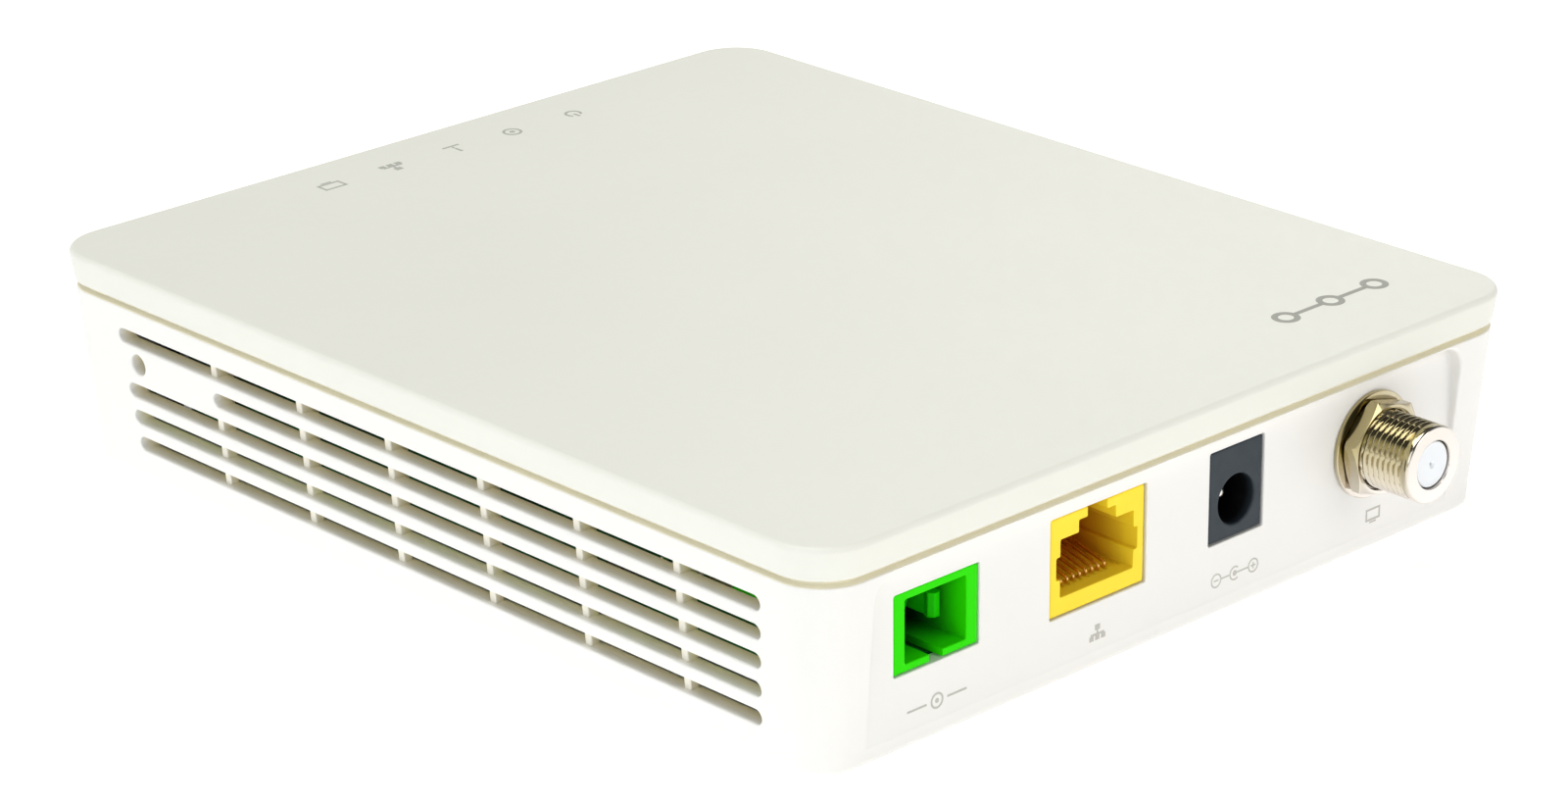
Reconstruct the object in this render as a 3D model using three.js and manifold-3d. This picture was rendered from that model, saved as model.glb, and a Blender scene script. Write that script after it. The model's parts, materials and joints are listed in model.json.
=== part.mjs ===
// An optical network terminal: a two-shell plastic case around one circuit board that carries
// an optical receptacle, a network jack, a power inlet and a coaxial television socket.
// Millimetres, +Z up. The sockets face -Y, the reset side faces -X, the indicators face +Y.
// The origin is the centre of the overall footprint, on the surface that the feet stand on.
import * as THREE from "three";
import { mergeVertices } from "three/addons/utils/BufferGeometryUtils.js";
import Module from "manifold-3d";

const wasm = await Module();
wasm.setup();

// ---------- Driving dimensions ----------

// Case, measured at the seam between its two shells
const CASE_WIDTH = 115.2;
const CASE_DEPTH = 135.6;
const CASE_CORNER = 6.3;
const FOOT_PROUD = 1.0;
const BASE_HEIGHT = 23.7;
const COVER_HEIGHT = 4.5;
const BASE_DRAFT = 2.2; // how far the base is drawn in at its underside
const COVER_FLARE = 0.7; // how far the cover's top stands out past the seam
const SEAM_GAP = 0.8; // height of the shadow groove between the shells
const BASE_EDGE = 1.0; // radius of the base's lower edge
const COVER_EDGE = 0.8; // radius of the cover's upper edge
const WALL = 2.4;
const FLOOR = 1.8;
const CEILING = 1.8;
const TONGUE_SETBACK = 1.15; // the base's tongue stands behind the groove
const TONGUE_HEIGHT = 2.2;

// Socket panel, sunk into the -Y wall
const PANEL_RECESS = 2.0;
const PANEL_THICKNESS = 1.9;
const PANEL_LEFT = -49.1;
const PANEL_RIGHT = 48.5;
const PANEL_TOP_LIP = 0.5;

// Heights
const SEAM_Z = FOOT_PROUD + BASE_HEIGHT;
const TOP_Z = SEAM_Z + COVER_HEIGHT;
const RIM_Z = SEAM_Z - SEAM_GAP / 2;
const COVER_LOW_Z = SEAM_Z + SEAM_GAP / 2;
const FLOOR_Z = FOOT_PROUD + FLOOR;
const CEILING_Z = TOP_Z - CEILING;
const BOARD_TOP_Z = 10.2;
const BOARD_THICKNESS = 1.6;
const BOARD_LOW_Z = BOARD_TOP_Z - BOARD_THICKNESS;

// Coaxial socket reach beyond the panel, which sets where the footprint's centre lies
const COAX_REACH = 9.6;
const PORT_Y = -(CASE_DEPTH + COVER_FLARE - (COAX_REACH - PANEL_RECESS)) / 2;
const CASE_Y = PORT_Y + CASE_DEPTH / 2;
const PANEL_Y = PORT_Y + PANEL_RECESS;

// Sockets: middle of each across the panel
const OPTICAL_X = -38.2;
const OPTICAL_Z = 15.1;
const OPTICAL_Y = PANEL_Y + 0.2;
const LAN_X = -12.65;
const LAN_Y = PANEL_Y + 0.5;
const POWER_X = 10.5;
const POWER_Y = PANEL_Y + 0.2;
const COAX_X = 34.1;
const COAX_Z = 14.9;

// Vents: five louvre rows on each side wall
const VENT_TOP_Z = 20.4;
const VENT_PITCH = 3.58;
const VENT_HEIGHT = 1.9;
const VENT_ROWS = 5;
const VENT_NEAR = 9.8; // from the socket side
const VENT_FAR = 123.6;
const VENT_STEP = 0.33; // each lower row is this much shorter at both ends
const VENT_SHORT_FAR = 105.4; // the row that stops short of the reset hole
const BAR_FIRST = 23.9;
const BAR_PITCH = 16.4;
const BAR_COUNT = 6;
const BAR_WIDTH = 1.1;
const BAR_SETBACK = 0.9;
const VENT_REACH = 5.2; // how deep the slots are cut, past the wall and its drafted foot
const BAR_REACH = 4.0;

// Reset switch behind its pin hole
const RESET_Y = PORT_Y + 120.4;
const RESET_Z = 17.05;
const RESET_HOLE_R = 1.35;
const SWITCH_X = -51.4; // front of the switch body

// Indicators along the +Y edge
const LED_X = [-19.9, -9.7, 0.6, 10.2, 20.8];
const LED_Y = PORT_Y + 128.9;
const WINDOW_Z = 20.3;

// Fasteners and posts
const BOARD_SCREWS = [[-47, PORT_Y + 42], [47, PORT_Y + 50], [4, PORT_Y + 119]];
const CASE_SCREWS = [[-36, PORT_Y + 124.2], [36, PORT_Y + 124.2]];
const CASE_BOSS_R = 4.0;
const CASE_BOSS_TOP = 12.0;
const COUNTERBORE_Z = 3.6;
const FEET = [[-44, -50], [44, -50], [-44, 48], [44, 48]];
const FOOT_R = 5.0;
const KEYHOLES = [[-32, 30], [32, 30]];
const HOOK_X = [-26, 0.5, 21.5];
const POST_R = 3.3;
const BOARD_PILOT_R = 1.4;
const CASE_HOLE_R = 1.5;
const COUNTERBORE_R = 3.1;
const TOWER_R = 3.4;
const TOWER_PILOT_R = 1.3;

// Underside: two fields of air slots and the pocket of the rating label
const AIR_SLOT = { length: 40, width: 2.0, pitch: 5, fields: [-32, 36] };
const KEYHOLE = { headR: 3.6, slotWidth: 3.8, slotLength: 9 };
const LABEL_POCKET = { width: 64, depth: 30, corner: 2, sink: 0.35, y: 5 };
const LABEL_MARGIN = 0.5;

const CLEAR = 0.15; // usual clearance between neighbouring pieces
const TOUCH = 0.05; // gap under a piece that rests on another

// ---------- Materials ----------

const plastic = (color, roughness = 0.5) =>
  new THREE.MeshStandardMaterial({ color, roughness, metalness: 0 });
const metal = (color, roughness = 0.3) =>
  new THREE.MeshStandardMaterial({ color, roughness, metalness: 1 });

// ---------- Solids ----------

function solidOf(geometry) {
  const bare = geometry.index ? geometry.toNonIndexed() : geometry.clone();
  bare.deleteAttribute("normal");
  bare.deleteAttribute("uv");
  const merged = mergeVertices(bare, 1e-4);
  const vertProperties = merged.attributes.position.array;
  const triVerts = new Uint32Array(merged.index.array);
  return new wasm.Manifold(new wasm.Mesh({ numProp: 3, vertProperties, triVerts }));
}

function geometryOf(solid) {
  const { vertProperties, triVerts } = solid.getMesh();
  const geometry = new THREE.BufferGeometry();
  geometry.setAttribute("position", new THREE.BufferAttribute(vertProperties, 3));
  geometry.setIndex(new THREE.BufferAttribute(triVerts, 1));
  geometry.computeVertexNormals();
  return geometry;
}

function meshOf(name, solid, material, x = 0, y = 0, z = 0) {
  const mesh = new THREE.Mesh(geometryOf(solid), material);
  mesh.name = name;
  mesh.position.set(x, y, z);
  return mesh;
}

const join = (first, ...others) => others.reduce((sum, other) => sum.add(other), first);
const cut = (first, ...others) => others.reduce((rest, other) => rest.subtract(other), first);

// A box between two opposite corners.
function block(x0, x1, y0, y1, z0, z1) {
  const geometry = new THREE.BoxGeometry(x1 - x0, y1 - y0, z1 - z0);
  geometry.translate((x0 + x1) / 2, (y0 + y1) / 2, (z0 + z1) / 2);
  return solidOf(geometry);
}

// A rod along an axis from one end to the other, centred on (a, b) across it:
// (y, z) for an X rod, (x, z) for a Y rod, (x, y) for a Z rod.
function rod(axis, radius, from, to, a = 0, b = 0, sides = 20) {
  const geometry = new THREE.CylinderGeometry(radius, radius, to - from, sides);
  const middle = (from + to) / 2;
  if (axis === "x") geometry.rotateZ(-Math.PI / 2).translate(middle, a, b);
  if (axis === "y") geometry.translate(a, middle, b);
  if (axis === "z") geometry.rotateX(Math.PI / 2).translate(a, b, middle);
  return solidOf(geometry);
}

// A solid of revolution about Y, from a closed profile of [radius, y] points.
function turned(profile, sides = 24) {
  const points = profile.map(([radius, y]) => new THREE.Vector2(radius, y));
  const solid = solidOf(new THREE.LatheGeometry(points, sides));
  if (solid.volume() > 0) return solid;
  return solidOf(new THREE.LatheGeometry(points.reverse(), sides));
}

function extruded(shape, length, curveSegments) {
  const options = { depth: length, bevelEnabled: false, curveSegments };
  return new THREE.ExtrudeGeometry(shape, options);
}

// A shape drawn in (x, y), standing up from z0 to z1.
function plateZ(shape, z0, z1, curveSegments = 4) {
  return solidOf(extruded(shape, z1 - z0, curveSegments).translate(0, 0, z0));
}

// A shape drawn in (x, z), running from y0 to y1.
function plateY(shape, y0, y1, curveSegments = 4) {
  const geometry = extruded(shape, y1 - y0, curveSegments);
  return solidOf(geometry.rotateX(Math.PI / 2).translate(0, y1, 0));
}

// A shape drawn in (y, z), running from x0 to x1.
function plateX(shape, x0, x1, curveSegments = 4) {
  const geometry = extruded(shape, x1 - x0, curveSegments);
  return solidOf(geometry.rotateX(Math.PI / 2).rotateZ(Math.PI / 2).translate(x0, 0, 0));
}

// ---------- Outlines ----------

function roundedRectangle(width, height, radius, centreX = 0, centreY = 0) {
  const shape = new THREE.Shape();
  const right = centreX + width / 2 - radius;
  const left = centreX - width / 2 + radius;
  const top = centreY + height / 2 - radius;
  const low = centreY - height / 2 + radius;
  shape.absarc(right, low, radius, -Math.PI / 2, 0, false);
  shape.absarc(right, top, radius, 0, Math.PI / 2, false);
  shape.absarc(left, top, radius, Math.PI / 2, Math.PI, false);
  shape.absarc(left, low, radius, Math.PI, Math.PI * 1.5, false);
  shape.closePath();
  return shape;
}

// A slot with round ends along the first direction, from one end to the other.
function slot(from, to, centre, height) {
  return roundedRectangle(to - from, height, height / 2 - 0.05, (from + to) / 2, centre);
}

const polygon = (points) => new THREE.Shape(points.map(([a, b]) => new THREE.Vector2(a, b)));

// ---------- Case ----------

// A body with the case's rounded outline whose size changes with height. The profile lists
// [z, offset] from the bottom up, with the offset measured outwards from the seam outline.
function loft(profile) {
  const steps = profile.length - 1;
  const outline = roundedRectangle(CASE_WIDTH, CASE_DEPTH, CASE_CORNER);
  const options = { depth: steps, steps, bevelEnabled: false, curveSegments: 3 };
  const geometry = new THREE.ExtrudeGeometry(outline, options);
  const position = geometry.attributes.position;
  const flatX = CASE_WIDTH / 2 - CASE_CORNER;
  const flatY = CASE_DEPTH / 2 - CASE_CORNER;
  for (let i = 0; i < position.count; i += 1) {
    const x = position.getX(i);
    const y = position.getY(i);
    const [z, offset] = profile[Math.round(position.getZ(i))];
    const outX = (x - THREE.MathUtils.clamp(x, -flatX, flatX)) / CASE_CORNER;
    const outY = (y - THREE.MathUtils.clamp(y, -flatY, flatY)) / CASE_CORNER;
    position.setXYZ(i, x + outX * offset, y + outY * offset, z);
  }
  return solidOf(geometry.translate(0, CASE_Y, 0));
}

const baseOffset = (z) => (-BASE_DRAFT * (SEAM_Z - z)) / BASE_HEIGHT;
const coverOffset = (z) => (COVER_FLARE * (z - SEAM_Z)) / COVER_HEIGHT;
const EDGE_ANGLES = [0, 30, 60, 90].map(THREE.MathUtils.degToRad);

function baseOutside(setback = 0) {
  const lowerEdge = EDGE_ANGLES.map((angle) => {
    const z = FOOT_PROUD + BASE_EDGE * (1 - Math.cos(angle));
    return [z, baseOffset(z) - BASE_EDGE * (1 - Math.sin(angle)) - setback];
  });
  return loft([...lowerEdge, [RIM_Z, baseOffset(RIM_Z) - setback]]);
}

function baseInside() {
  const low = baseOffset(FLOOR_Z) - WALL;
  return loft([[FLOOR_Z, low], [RIM_Z, -WALL], [TOP_Z, -WALL]]);
}

// Louvre slots through one side wall, as cutters. The reset side has one shorter row.
function ventSlots(side, shortRow) {
  const rows = Array.from({ length: VENT_ROWS }, (_, row) => {
    const near = PORT_Y + VENT_NEAR + VENT_STEP * row;
    const far = PORT_Y + (row === shortRow ? VENT_SHORT_FAR : VENT_FAR - VENT_STEP * row);
    const shape = slot(near, far, VENT_TOP_Z - VENT_PITCH * row, VENT_HEIGHT);
    const outer = side * (CASE_WIDTH / 2 + 1);
    const inner = side * (CASE_WIDTH / 2 - VENT_REACH);
    return plateX(shape, Math.min(outer, inner), Math.max(outer, inner), 1);
  });
  return join(...rows);
}

// Upright bars that tie the louvres together, set back from the wall's outer face.
function ventBars(side) {
  const low = VENT_TOP_Z - VENT_PITCH * (VENT_ROWS - 1) - VENT_HEIGHT;
  const high = VENT_TOP_Z + VENT_HEIGHT;
  const inner = side * (CASE_WIDTH / 2 - BAR_REACH);
  const outer = (side * CASE_WIDTH) / 2;
  const bars = Array.from({ length: BAR_COUNT }, (_, bar) => {
    const y = PORT_Y + BAR_FIRST + BAR_PITCH * bar;
    const [x0, x1] = [Math.min(inner, outer), Math.max(inner, outer)];
    return block(x0, x1, y - BAR_WIDTH / 2, y + BAR_WIDTH / 2, low, high);
  });
  return join(...bars).intersect(baseOutside(BAR_SETBACK));
}

// Cut-outs in the socket panel, each a little larger than the piece that fills it.
function socketHoles() {
  const through = [PORT_Y - 1, PORT_Y + 6];
  return join(
    block(OPTICAL_X - 6.6, OPTICAL_X + 6.6, ...through, OPTICAL_Z - 4.85, OPTICAL_Z + 4.85),
    block(LAN_X - 7.8, LAN_X + 8.5, ...through, BOARD_TOP_Z - 1.0, BOARD_TOP_Z + 11.15),
    block(POWER_X - 4.7, POWER_X + 4.7, ...through, BOARD_TOP_Z - 0.1, BOARD_TOP_Z + 11.45),
    rod("y", 4.95, ...through, COAX_X, COAX_Z, 24),
  );
}

function panelRecess() {
  const top = RIM_Z - PANEL_TOP_LIP;
  const height = top - FOOT_PROUD + 10;
  const middle = (PANEL_LEFT + PANEL_RIGHT) / 2;
  const width = PANEL_RIGHT - PANEL_LEFT;
  const shape = roundedRectangle(width, height, 3.0, middle, top - height / 2);
  return plateY(shape, PORT_Y - 10, PANEL_Y, 3);
}

function hookPockets() {
  const y0 = PANEL_Y + 1.0;
  return join(...HOOK_X.map((x) => block(x - 3.3, x + 3.3, y0, PORT_Y + 5, 17.7, 19.8)));
}

// Cut-outs through the floor: air slots, two wall-hanging keyholes and the label's pocket.
function floorCuts() {
  const cuts = [];
  const { length, width, pitch, fields } = AIR_SLOT;
  for (const field of fields) {
    for (let i = -2; i <= 2; i += 1) {
      const shape = roundedRectangle(length, width, width / 2 - 0.05, 0, CASE_Y + field + i * pitch);
      cuts.push(plateZ(shape, 0, FLOOR_Z + 1, 1));
    }
  }
  const { headR, slotWidth, slotLength } = KEYHOLE;
  for (const [x, y] of KEYHOLES) {
    const neck = roundedRectangle(slotWidth, slotLength, slotWidth / 2 - 0.1, x, y + slotLength / 2);
    cuts.push(rod("z", headR, 0, FLOOR_Z + 1, x, y, 16));
    cuts.push(plateZ(neck, 0, FLOOR_Z + 1, 2));
  }
  const pocket = LABEL_POCKET;
  const floor = roundedRectangle(pocket.width, pocket.depth, pocket.corner, 0, CASE_Y + pocket.y);
  cuts.push(plateZ(floor, 0, FOOT_PROUD + pocket.sink, 2));
  for (const [x, y] of FEET) cuts.push(rod("z", FOOT_R + CLEAR, 0, FOOT_PROUD + 0.5, x, y, 24));
  return join(...cuts);
}

function baseShell() {
  const tongueZ = RIM_Z + TONGUE_HEIGHT;
  const tongue = loft([[RIM_Z - 1.5, -TONGUE_SETBACK], [tongueZ, -TONGUE_SETBACK]]);
  const panelBack = PANEL_Y + PANEL_THICKNESS;
  const panel = block(PANEL_LEFT - 2, PANEL_RIGHT + 2, PORT_Y - 1, panelBack, 2, RIM_Z - 0.3);
  const posts = BOARD_SCREWS.map(([x, y]) => rod("z", POST_R, 2, BOARD_LOW_Z - TOUCH, x, y));
  const bosses = CASE_SCREWS.map(([x, y]) => rod("z", CASE_BOSS_R, 2, CASE_BOSS_TOP, x, y));
  const shell = cut(join(baseOutside(), tongue), baseInside(), ventSlots(-1, 1), ventSlots(1, -1));
  const panelWall = panel.intersect(baseOutside(0.6));
  const filled = join(shell, panelWall, ventBars(-1), ventBars(1), ...posts, ...bosses);
  const windowZ = [WINDOW_Z - 0.8, WINDOW_Z + 0.8];
  return cut(
    filled,
    panelRecess(),
    socketHoles(),
    hookPockets(),
    rod("x", RESET_HOLE_R, -60, -53, RESET_Y, RESET_Z, 16),
    floorCuts(),
    ...BOARD_SCREWS.map(([x, y]) => rod("z", BOARD_PILOT_R, FLOOR_Z, BOARD_TOP_Z, x, y, 12)),
    ...CASE_SCREWS.map(([x, y]) => rod("z", CASE_HOLE_R, 0, CASE_BOSS_TOP + 1, x, y, 16)),
    ...CASE_SCREWS.map(([x, y]) => rod("z", COUNTERBORE_R, 0, COUNTERBORE_Z, x, y)),
    ...LED_X.map((x) => block(x - 1.6, x + 1.6, LED_Y, PORT_Y + 140, ...windowZ)),
  );
}

function topCover() {
  const upperEdge = EDGE_ANGLES.map((angle) => {
    const z = TOP_Z - COVER_EDGE * (1 - Math.sin(angle));
    return [z, coverOffset(z) - COVER_EDGE * (1 - Math.cos(angle))];
  });
  const outside = loft([[COVER_LOW_Z, coverOffset(COVER_LOW_Z)], ...upperEdge]);
  const skirt = -TONGUE_SETBACK + CLEAR;
  const tongueTop = RIM_Z + TONGUE_HEIGHT + CLEAR;
  const inside = loft([[RIM_Z, skirt], [tongueTop, skirt], [tongueTop, -WALL], [CEILING_Z, -WALL]]);
  const hooks = HOOK_X.flatMap((x) => {
    const back = PANEL_Y + PANEL_THICKNESS + CLEAR;
    return [
      block(x - 3, x + 3, back, back + 1.3, 17.9, CEILING_Z + 0.5),
      block(x - 3, x + 3, back - 0.8, back + 0.5, 17.9, 19.5),
    ];
  });
  const towerZ = [CASE_BOSS_TOP + 0.2, CEILING_Z + 0.5];
  const towers = CASE_SCREWS.map(([x, y]) => rod("z", TOWER_R, ...towerZ, x, y));
  const pilots = CASE_SCREWS.map(([x, y]) => rod("z", TOWER_PILOT_R, CASE_BOSS_TOP, 25, x, y, 12));
  return cut(join(cut(outside, inside), ...hooks, ...towers), ...pilots);
}

function rubberFoot() {
  const top = FOOT_PROUD + 0.4;
  const profile = [[0, 0], [FOOT_R - 0.6, 0], [FOOT_R, 0.6], [FOOT_R, top], [0, top]];
  const points = profile.map(([r, y]) => new THREE.Vector2(r, y));
  return solidOf(new THREE.LatheGeometry(points, 24).rotateX(Math.PI / 2));
}

// A pan-head screw with a cross recess, head upwards, its shank running down from z = 0.
function screw(headR, headHeight, shankR, shankLength) {
  const head = rod("z", headR, 0, headHeight, 0, 0, 18);
  const shank = rod("z", shankR, -shankLength, 0.2, 0, 0, 12);
  const arm = headR * 0.6;
  const depth = headHeight * 0.5;
  const recess = join(
    block(-arm, arm, -0.35, 0.35, depth, headHeight + 1),
    block(-0.35, 0.35, -arm, arm, depth, headHeight + 1),
  );
  return cut(join(head, shank), recess);
}

function caseGroup() {
  const group = new THREE.Group();
  const white = plastic(0xf1f0ec, 0.45);
  const rubber = plastic(0x55565a, 0.9);
  const steel = metal(0xb8b8b4, 0.35);
  group.add(meshOf("top_cover", topCover(), plastic(0xeaeade, 0.42)));
  group.add(meshOf("base_shell", baseShell(), white));
  FEET.forEach(([x, y], i) => group.add(meshOf(`foot_${i + 1}`, rubberFoot(), rubber, x, y)));
  CASE_SCREWS.forEach(([x, y], i) => {
    const mesh = meshOf(`case_screw_${i + 1}`, screw(2.7, 1.6, 1.15, 18), steel);
    mesh.rotation.x = Math.PI;
    mesh.position.set(x, y, COUNTERBORE_Z - TOUCH);
    group.add(mesh);
  });
  const { width, depth, corner, y: labelY } = LABEL_POCKET;
  const labelWidth = width - 2 * LABEL_MARGIN;
  const labelDepth = depth - 2 * LABEL_MARGIN;
  const outline = roundedRectangle(labelWidth, labelDepth, corner - 0.3, 0, CASE_Y + labelY);
  const label = plateZ(outline, FOOT_PROUD + 0.05, FOOT_PROUD + 0.25, 2);
  group.add(meshOf("rating_label", label, plastic(0xdedede, 0.6)));
  return group;
}

// ---------- Circuit board and what is soldered to it ----------

const BOARD_RIGHT = 53.2;
const BOARD_NEAR = PORT_Y + 4.6;
const BOARD_FAR = PORT_Y + 131.0;

function mainBoard() {
  const width = 2 * BOARD_RIGHT;
  const depth = BOARD_FAR - BOARD_NEAR;
  const outline = roundedRectangle(width, depth, 3, 0, BOARD_NEAR + depth / 2);
  const screwHoles = BOARD_SCREWS.map(([x, y]) => rod("z", 1.6, 0, 20, x, y, 12));
  const bossHoles = CASE_SCREWS.map(([x, y]) => rod("z", CASE_BOSS_R + 0.4, 0, 20, x, y));
  return cut(plateZ(outline, BOARD_LOW_Z, BOARD_TOP_Z, 2), ...screwHoles, ...bossHoles);
}

// A moulded chip package, centred on the board's top face, with a chamfered upper edge.
function chip(width, depth, height, chamfer = 0.15) {
  const outline = roundedRectangle(width, depth, 0.3);
  const body = plateZ(outline, TOUCH, height - chamfer, 1);
  const top = plateZ(roundedRectangle(width - 2 * chamfer, depth - 2 * chamfer, 0.3), 0.5, height, 1);
  return join(body, top);
}

// A gull-wing package: the body with rows of legs along both long sides.
function leggedChip(width, depth, height, legs) {
  const pitch = (depth - 1.2) / (legs - 1);
  const rows = Array.from({ length: legs }, (_, i) => {
    const y = -(depth - 1.2) / 2 + pitch * i;
    return block(-width / 2 - 1.1, width / 2 + 1.1, y - pitch / 5, y + pitch / 5, TOUCH, 0.4);
  });
  return join(chip(width, depth, height), ...rows);
}

function heatSink() {
  const size = 24;
  const fins = Array.from({ length: 7 }, (_, i) => {
    const x = -size / 2 + 0.6 + i * ((size - 1.2) / 6);
    return block(x - 0.6, x + 0.6, -size / 2, size / 2, 1, 8);
  });
  return join(block(-size / 2, size / 2, -size / 2, size / 2, 0, 1.6), ...fins);
}

function capacitor(radius, height) {
  const groove = height - 1.6;
  const profile = [
    [0, 0],
    [radius - 0.2, 0],
    [radius, 0.3],
    [radius, groove - 0.5],
    [radius - 0.35, groove],
    [radius, groove + 0.5],
    [radius, height - 0.3],
    [radius - 0.4, height],
    [0, height],
  ];
  const points = profile.map(([r, y]) => new THREE.Vector2(r, y));
  return solidOf(new THREE.LatheGeometry(points, 18).rotateX(Math.PI / 2)).translate([0, 0, 0.6]);
}

function inductor() {
  const chamfered = polygon([
    [-3.6, -2.4], [-2.4, -3.6], [2.4, -3.6], [3.6, -2.4],
    [3.6, 2.4], [2.4, 3.6], [-2.4, 3.6], [-3.6, 2.4],
  ]);
  return join(
    plateZ(chamfered, TOUCH, 0.8),
    rod("z", 2.4, 0.5, 4, 0, 0, 16),
    rod("z", 3.5, 3.4, 4.4, 0, 0, 16),
  );
}

function crystal() {
  return join(
    plateZ(roundedRectangle(11.4, 4.9, 2.4), TOUCH, 0.7, 2),
    plateZ(roundedRectangle(10.2, 3.8, 1.88), 0.4, 4.0, 2),
  );
}

function led() {
  return join(block(-1.6, 1.6, -0.8, 0.8, TOUCH, 0.5), rod("z", 0.65, 0.4, 1.0, 0, 0, 12));
}

const SHIELD = { width: 20, depth: 26, height: 6.6, sheet: 0.4 };

// The television receiver's screening frame: four walls with a folded-in upper edge.
function shieldFrame() {
  const { width, depth, height, sheet } = SHIELD;
  const [w, d] = [width / 2, depth / 2];
  return cut(
    block(-w, w, -d, d, TOUCH, height),
    block(-w + sheet, w - sheet, -d + sheet, d - sheet, -1, height - sheet),
    block(-w + 1.6, w - 1.6, -d + 1.6, d - 1.6, 0, height + 1),
  );
}

function shieldLid() {
  const { width, depth, height, sheet } = SHIELD;
  const [w, d] = [width / 2 + 0.1, depth / 2 + 0.1];
  const rise = height + 0.1;
  const holes = [];
  for (const x of [-6, -2, 2, 6]) {
    for (const y of [-9, -3, 3, 9]) holes.push(rod("z", 0.75, 0, 10, x, y, 8));
  }
  return cut(
    block(-w - sheet, w + sheet, -d - sheet, d + sheet, 2.2, rise + sheet),
    block(-w, w, -d, d, 0, rise),
    ...holes,
  );
}

function lightGuide() {
  const stem = 1.3;
  const reach = PORT_Y + CASE_DEPTH + baseOffset(WINDOW_Z) - 0.3;
  const prongs = LED_X.map((x) => {
    const side = polygon([
      [LED_Y - 1.2, BOARD_TOP_Z + 1.5],
      [LED_Y + 1.2, BOARD_TOP_Z + 1.5],
      [LED_Y + 1.2, WINDOW_Z - 0.6],
      [reach, WINDOW_Z - 0.6],
      [reach, WINDOW_Z + 0.6],
      [LED_Y, WINDOW_Z + 0.6],
      [LED_Y - 1.2, WINDOW_Z - 0.6],
    ]);
    return plateX(side, x - stem, x + stem);
  });
  const bar = block(LED_X[0], LED_X[4], LED_Y - 0.8, LED_Y + 0.8, WINDOW_Z - 2.4, WINDOW_Z - 0.8);
  return join(bar, ...prongs);
}

function boardGroup() {
  const group = new THREE.Group();
  const steel = metal(0xb8b8b4, 0.35);
  const black = plastic(0x1c1d20, 0.6);
  group.add(meshOf("main_board", mainBoard(), plastic(0x1e6b35, 0.5)));
  BOARD_SCREWS.forEach(([x, y], i) => {
    const solid = screw(2.7, 1.5, 1.25, 6);
    group.add(meshOf(`board_screw_${i + 1}`, solid, steel, x, y, BOARD_TOP_Z + TOUCH));
  });
  LED_X.forEach((x, i) => {
    group.add(meshOf(`led_${i + 1}`, led(), plastic(0xf2efe0, 0.3), x, LED_Y, BOARD_TOP_Z));
  });
  const acrylic = { color: 0xe8eef0, roughness: 0.1, transparent: true, opacity: 0.5 };
  const clear = new THREE.MeshStandardMaterial(acrylic);
  group.add(meshOf("light_guide", lightGuide(), clear));

  const onBoard = (name, solid, material, x, fromPort, lift = 0) => {
    group.add(meshOf(name, solid, material, x, PORT_Y + fromPort, BOARD_TOP_Z + lift));
  };
  onBoard("processor", chip(17, 17, 1.3), black, 6, 72);
  onBoard("heat_sink", heatSink(), metal(0xa9acb0, 0.45), 6, 72, 1.35);
  onBoard("memory_chip", chip(8, 12.6, 1.1), black, -16, 74);
  onBoard("flash_chip", leggedChip(5.4, 7.6, 1.8, 4), black, 30, 82);
  onBoard("lan_transformer", leggedChip(7.2, 15, 5.6, 8), black, -12.65, 34);
  onBoard("crystal", crystal(), metal(0xc8c8c4, 0.3), 30, 64);
  onBoard("input_capacitor", capacitor(4.0, 11.5), metal(0x33363c, 0.5), 6.5, 29);
  onBoard("output_capacitor", capacitor(3.15, 8.0), metal(0x33363c, 0.5), 16.5, 29);
  onBoard("power_inductor", inductor(), plastic(0x3b3b3d, 0.7), 12, 41);
  const tinplate = metal(0xc6c7c6, 0.3);
  onBoard("shield_frame", shieldFrame(), tinplate, COAX_X, 32);
  onBoard("shield_lid", shieldLid(), tinplate, COAX_X, 32);
  return group;
}

// ---------- Optical receptacle (origin: middle of its front face) ----------

const OPTICAL = { halfWidth: 6.45, halfHeight: 4.7, depth: 25.4, cavityX: 4.7, cavityZ: 3.8 };
const NECK_R = 2.55;
const BODY_BACK = OPTICAL.depth + 11;
const RECEIVER_Y = OPTICAL.depth + 5.6; // where the two side receivers stand on the body
const RECEIVER_X = 4.4;

function opticalHousing() {
  const { halfWidth, halfHeight, depth, cavityX, cavityZ } = OPTICAL;
  return cut(
    join(
      block(-halfWidth, halfWidth, 0, depth, -halfHeight, halfHeight),
      block(-halfWidth - 1, halfWidth + 1, 6, 9, -halfHeight, -1),
    ),
    block(-cavityX, cavityX, -1, 15.9, -cavityZ, cavityZ),
    block(-1.05, 1.05, -1, 13, -halfHeight - 1, 0),
    rod("y", NECK_R + CLEAR, 10, depth + 1, 0, 0, 20),
  );
}

// Two hooked arms that hold a plug, on a plate with the tube that carries the sleeve.
function latchInsert() {
  const arm = (side) => {
    const outline = polygon([
      [side * 2.6, 14.6],
      [side * 2.6, 4.4],
      [side * 2.1, 3.4],
      [side * 2.6, 2.8],
      [side * 3.5, 2.8],
      [side * 3.7, 14.6],
    ]);
    return plateZ(outline, -1.45, 1.45);
  };
  return cut(
    join(
      block(-4.6, 4.6, 14.2, 15.7, -3.7, 3.7),
      arm(-1),
      arm(1),
      rod("y", 2.15, 6.4, 15, 0, 0, 20),
    ),
    rod("y", 1.7, 0, 20, 0, 0, 20),
  );
}

// A split ceramic tube that lines two fibre ends up with each other.
function alignmentSleeve() {
  const tube = cut(rod("y", 1.6, 6.8, 17.2, 0, 0, 20), rod("y", 1.3, 0, 20, 0, 0, 20));
  return cut(tube, block(-0.15, 0.15, 0, 20, 1, 2));
}

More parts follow.
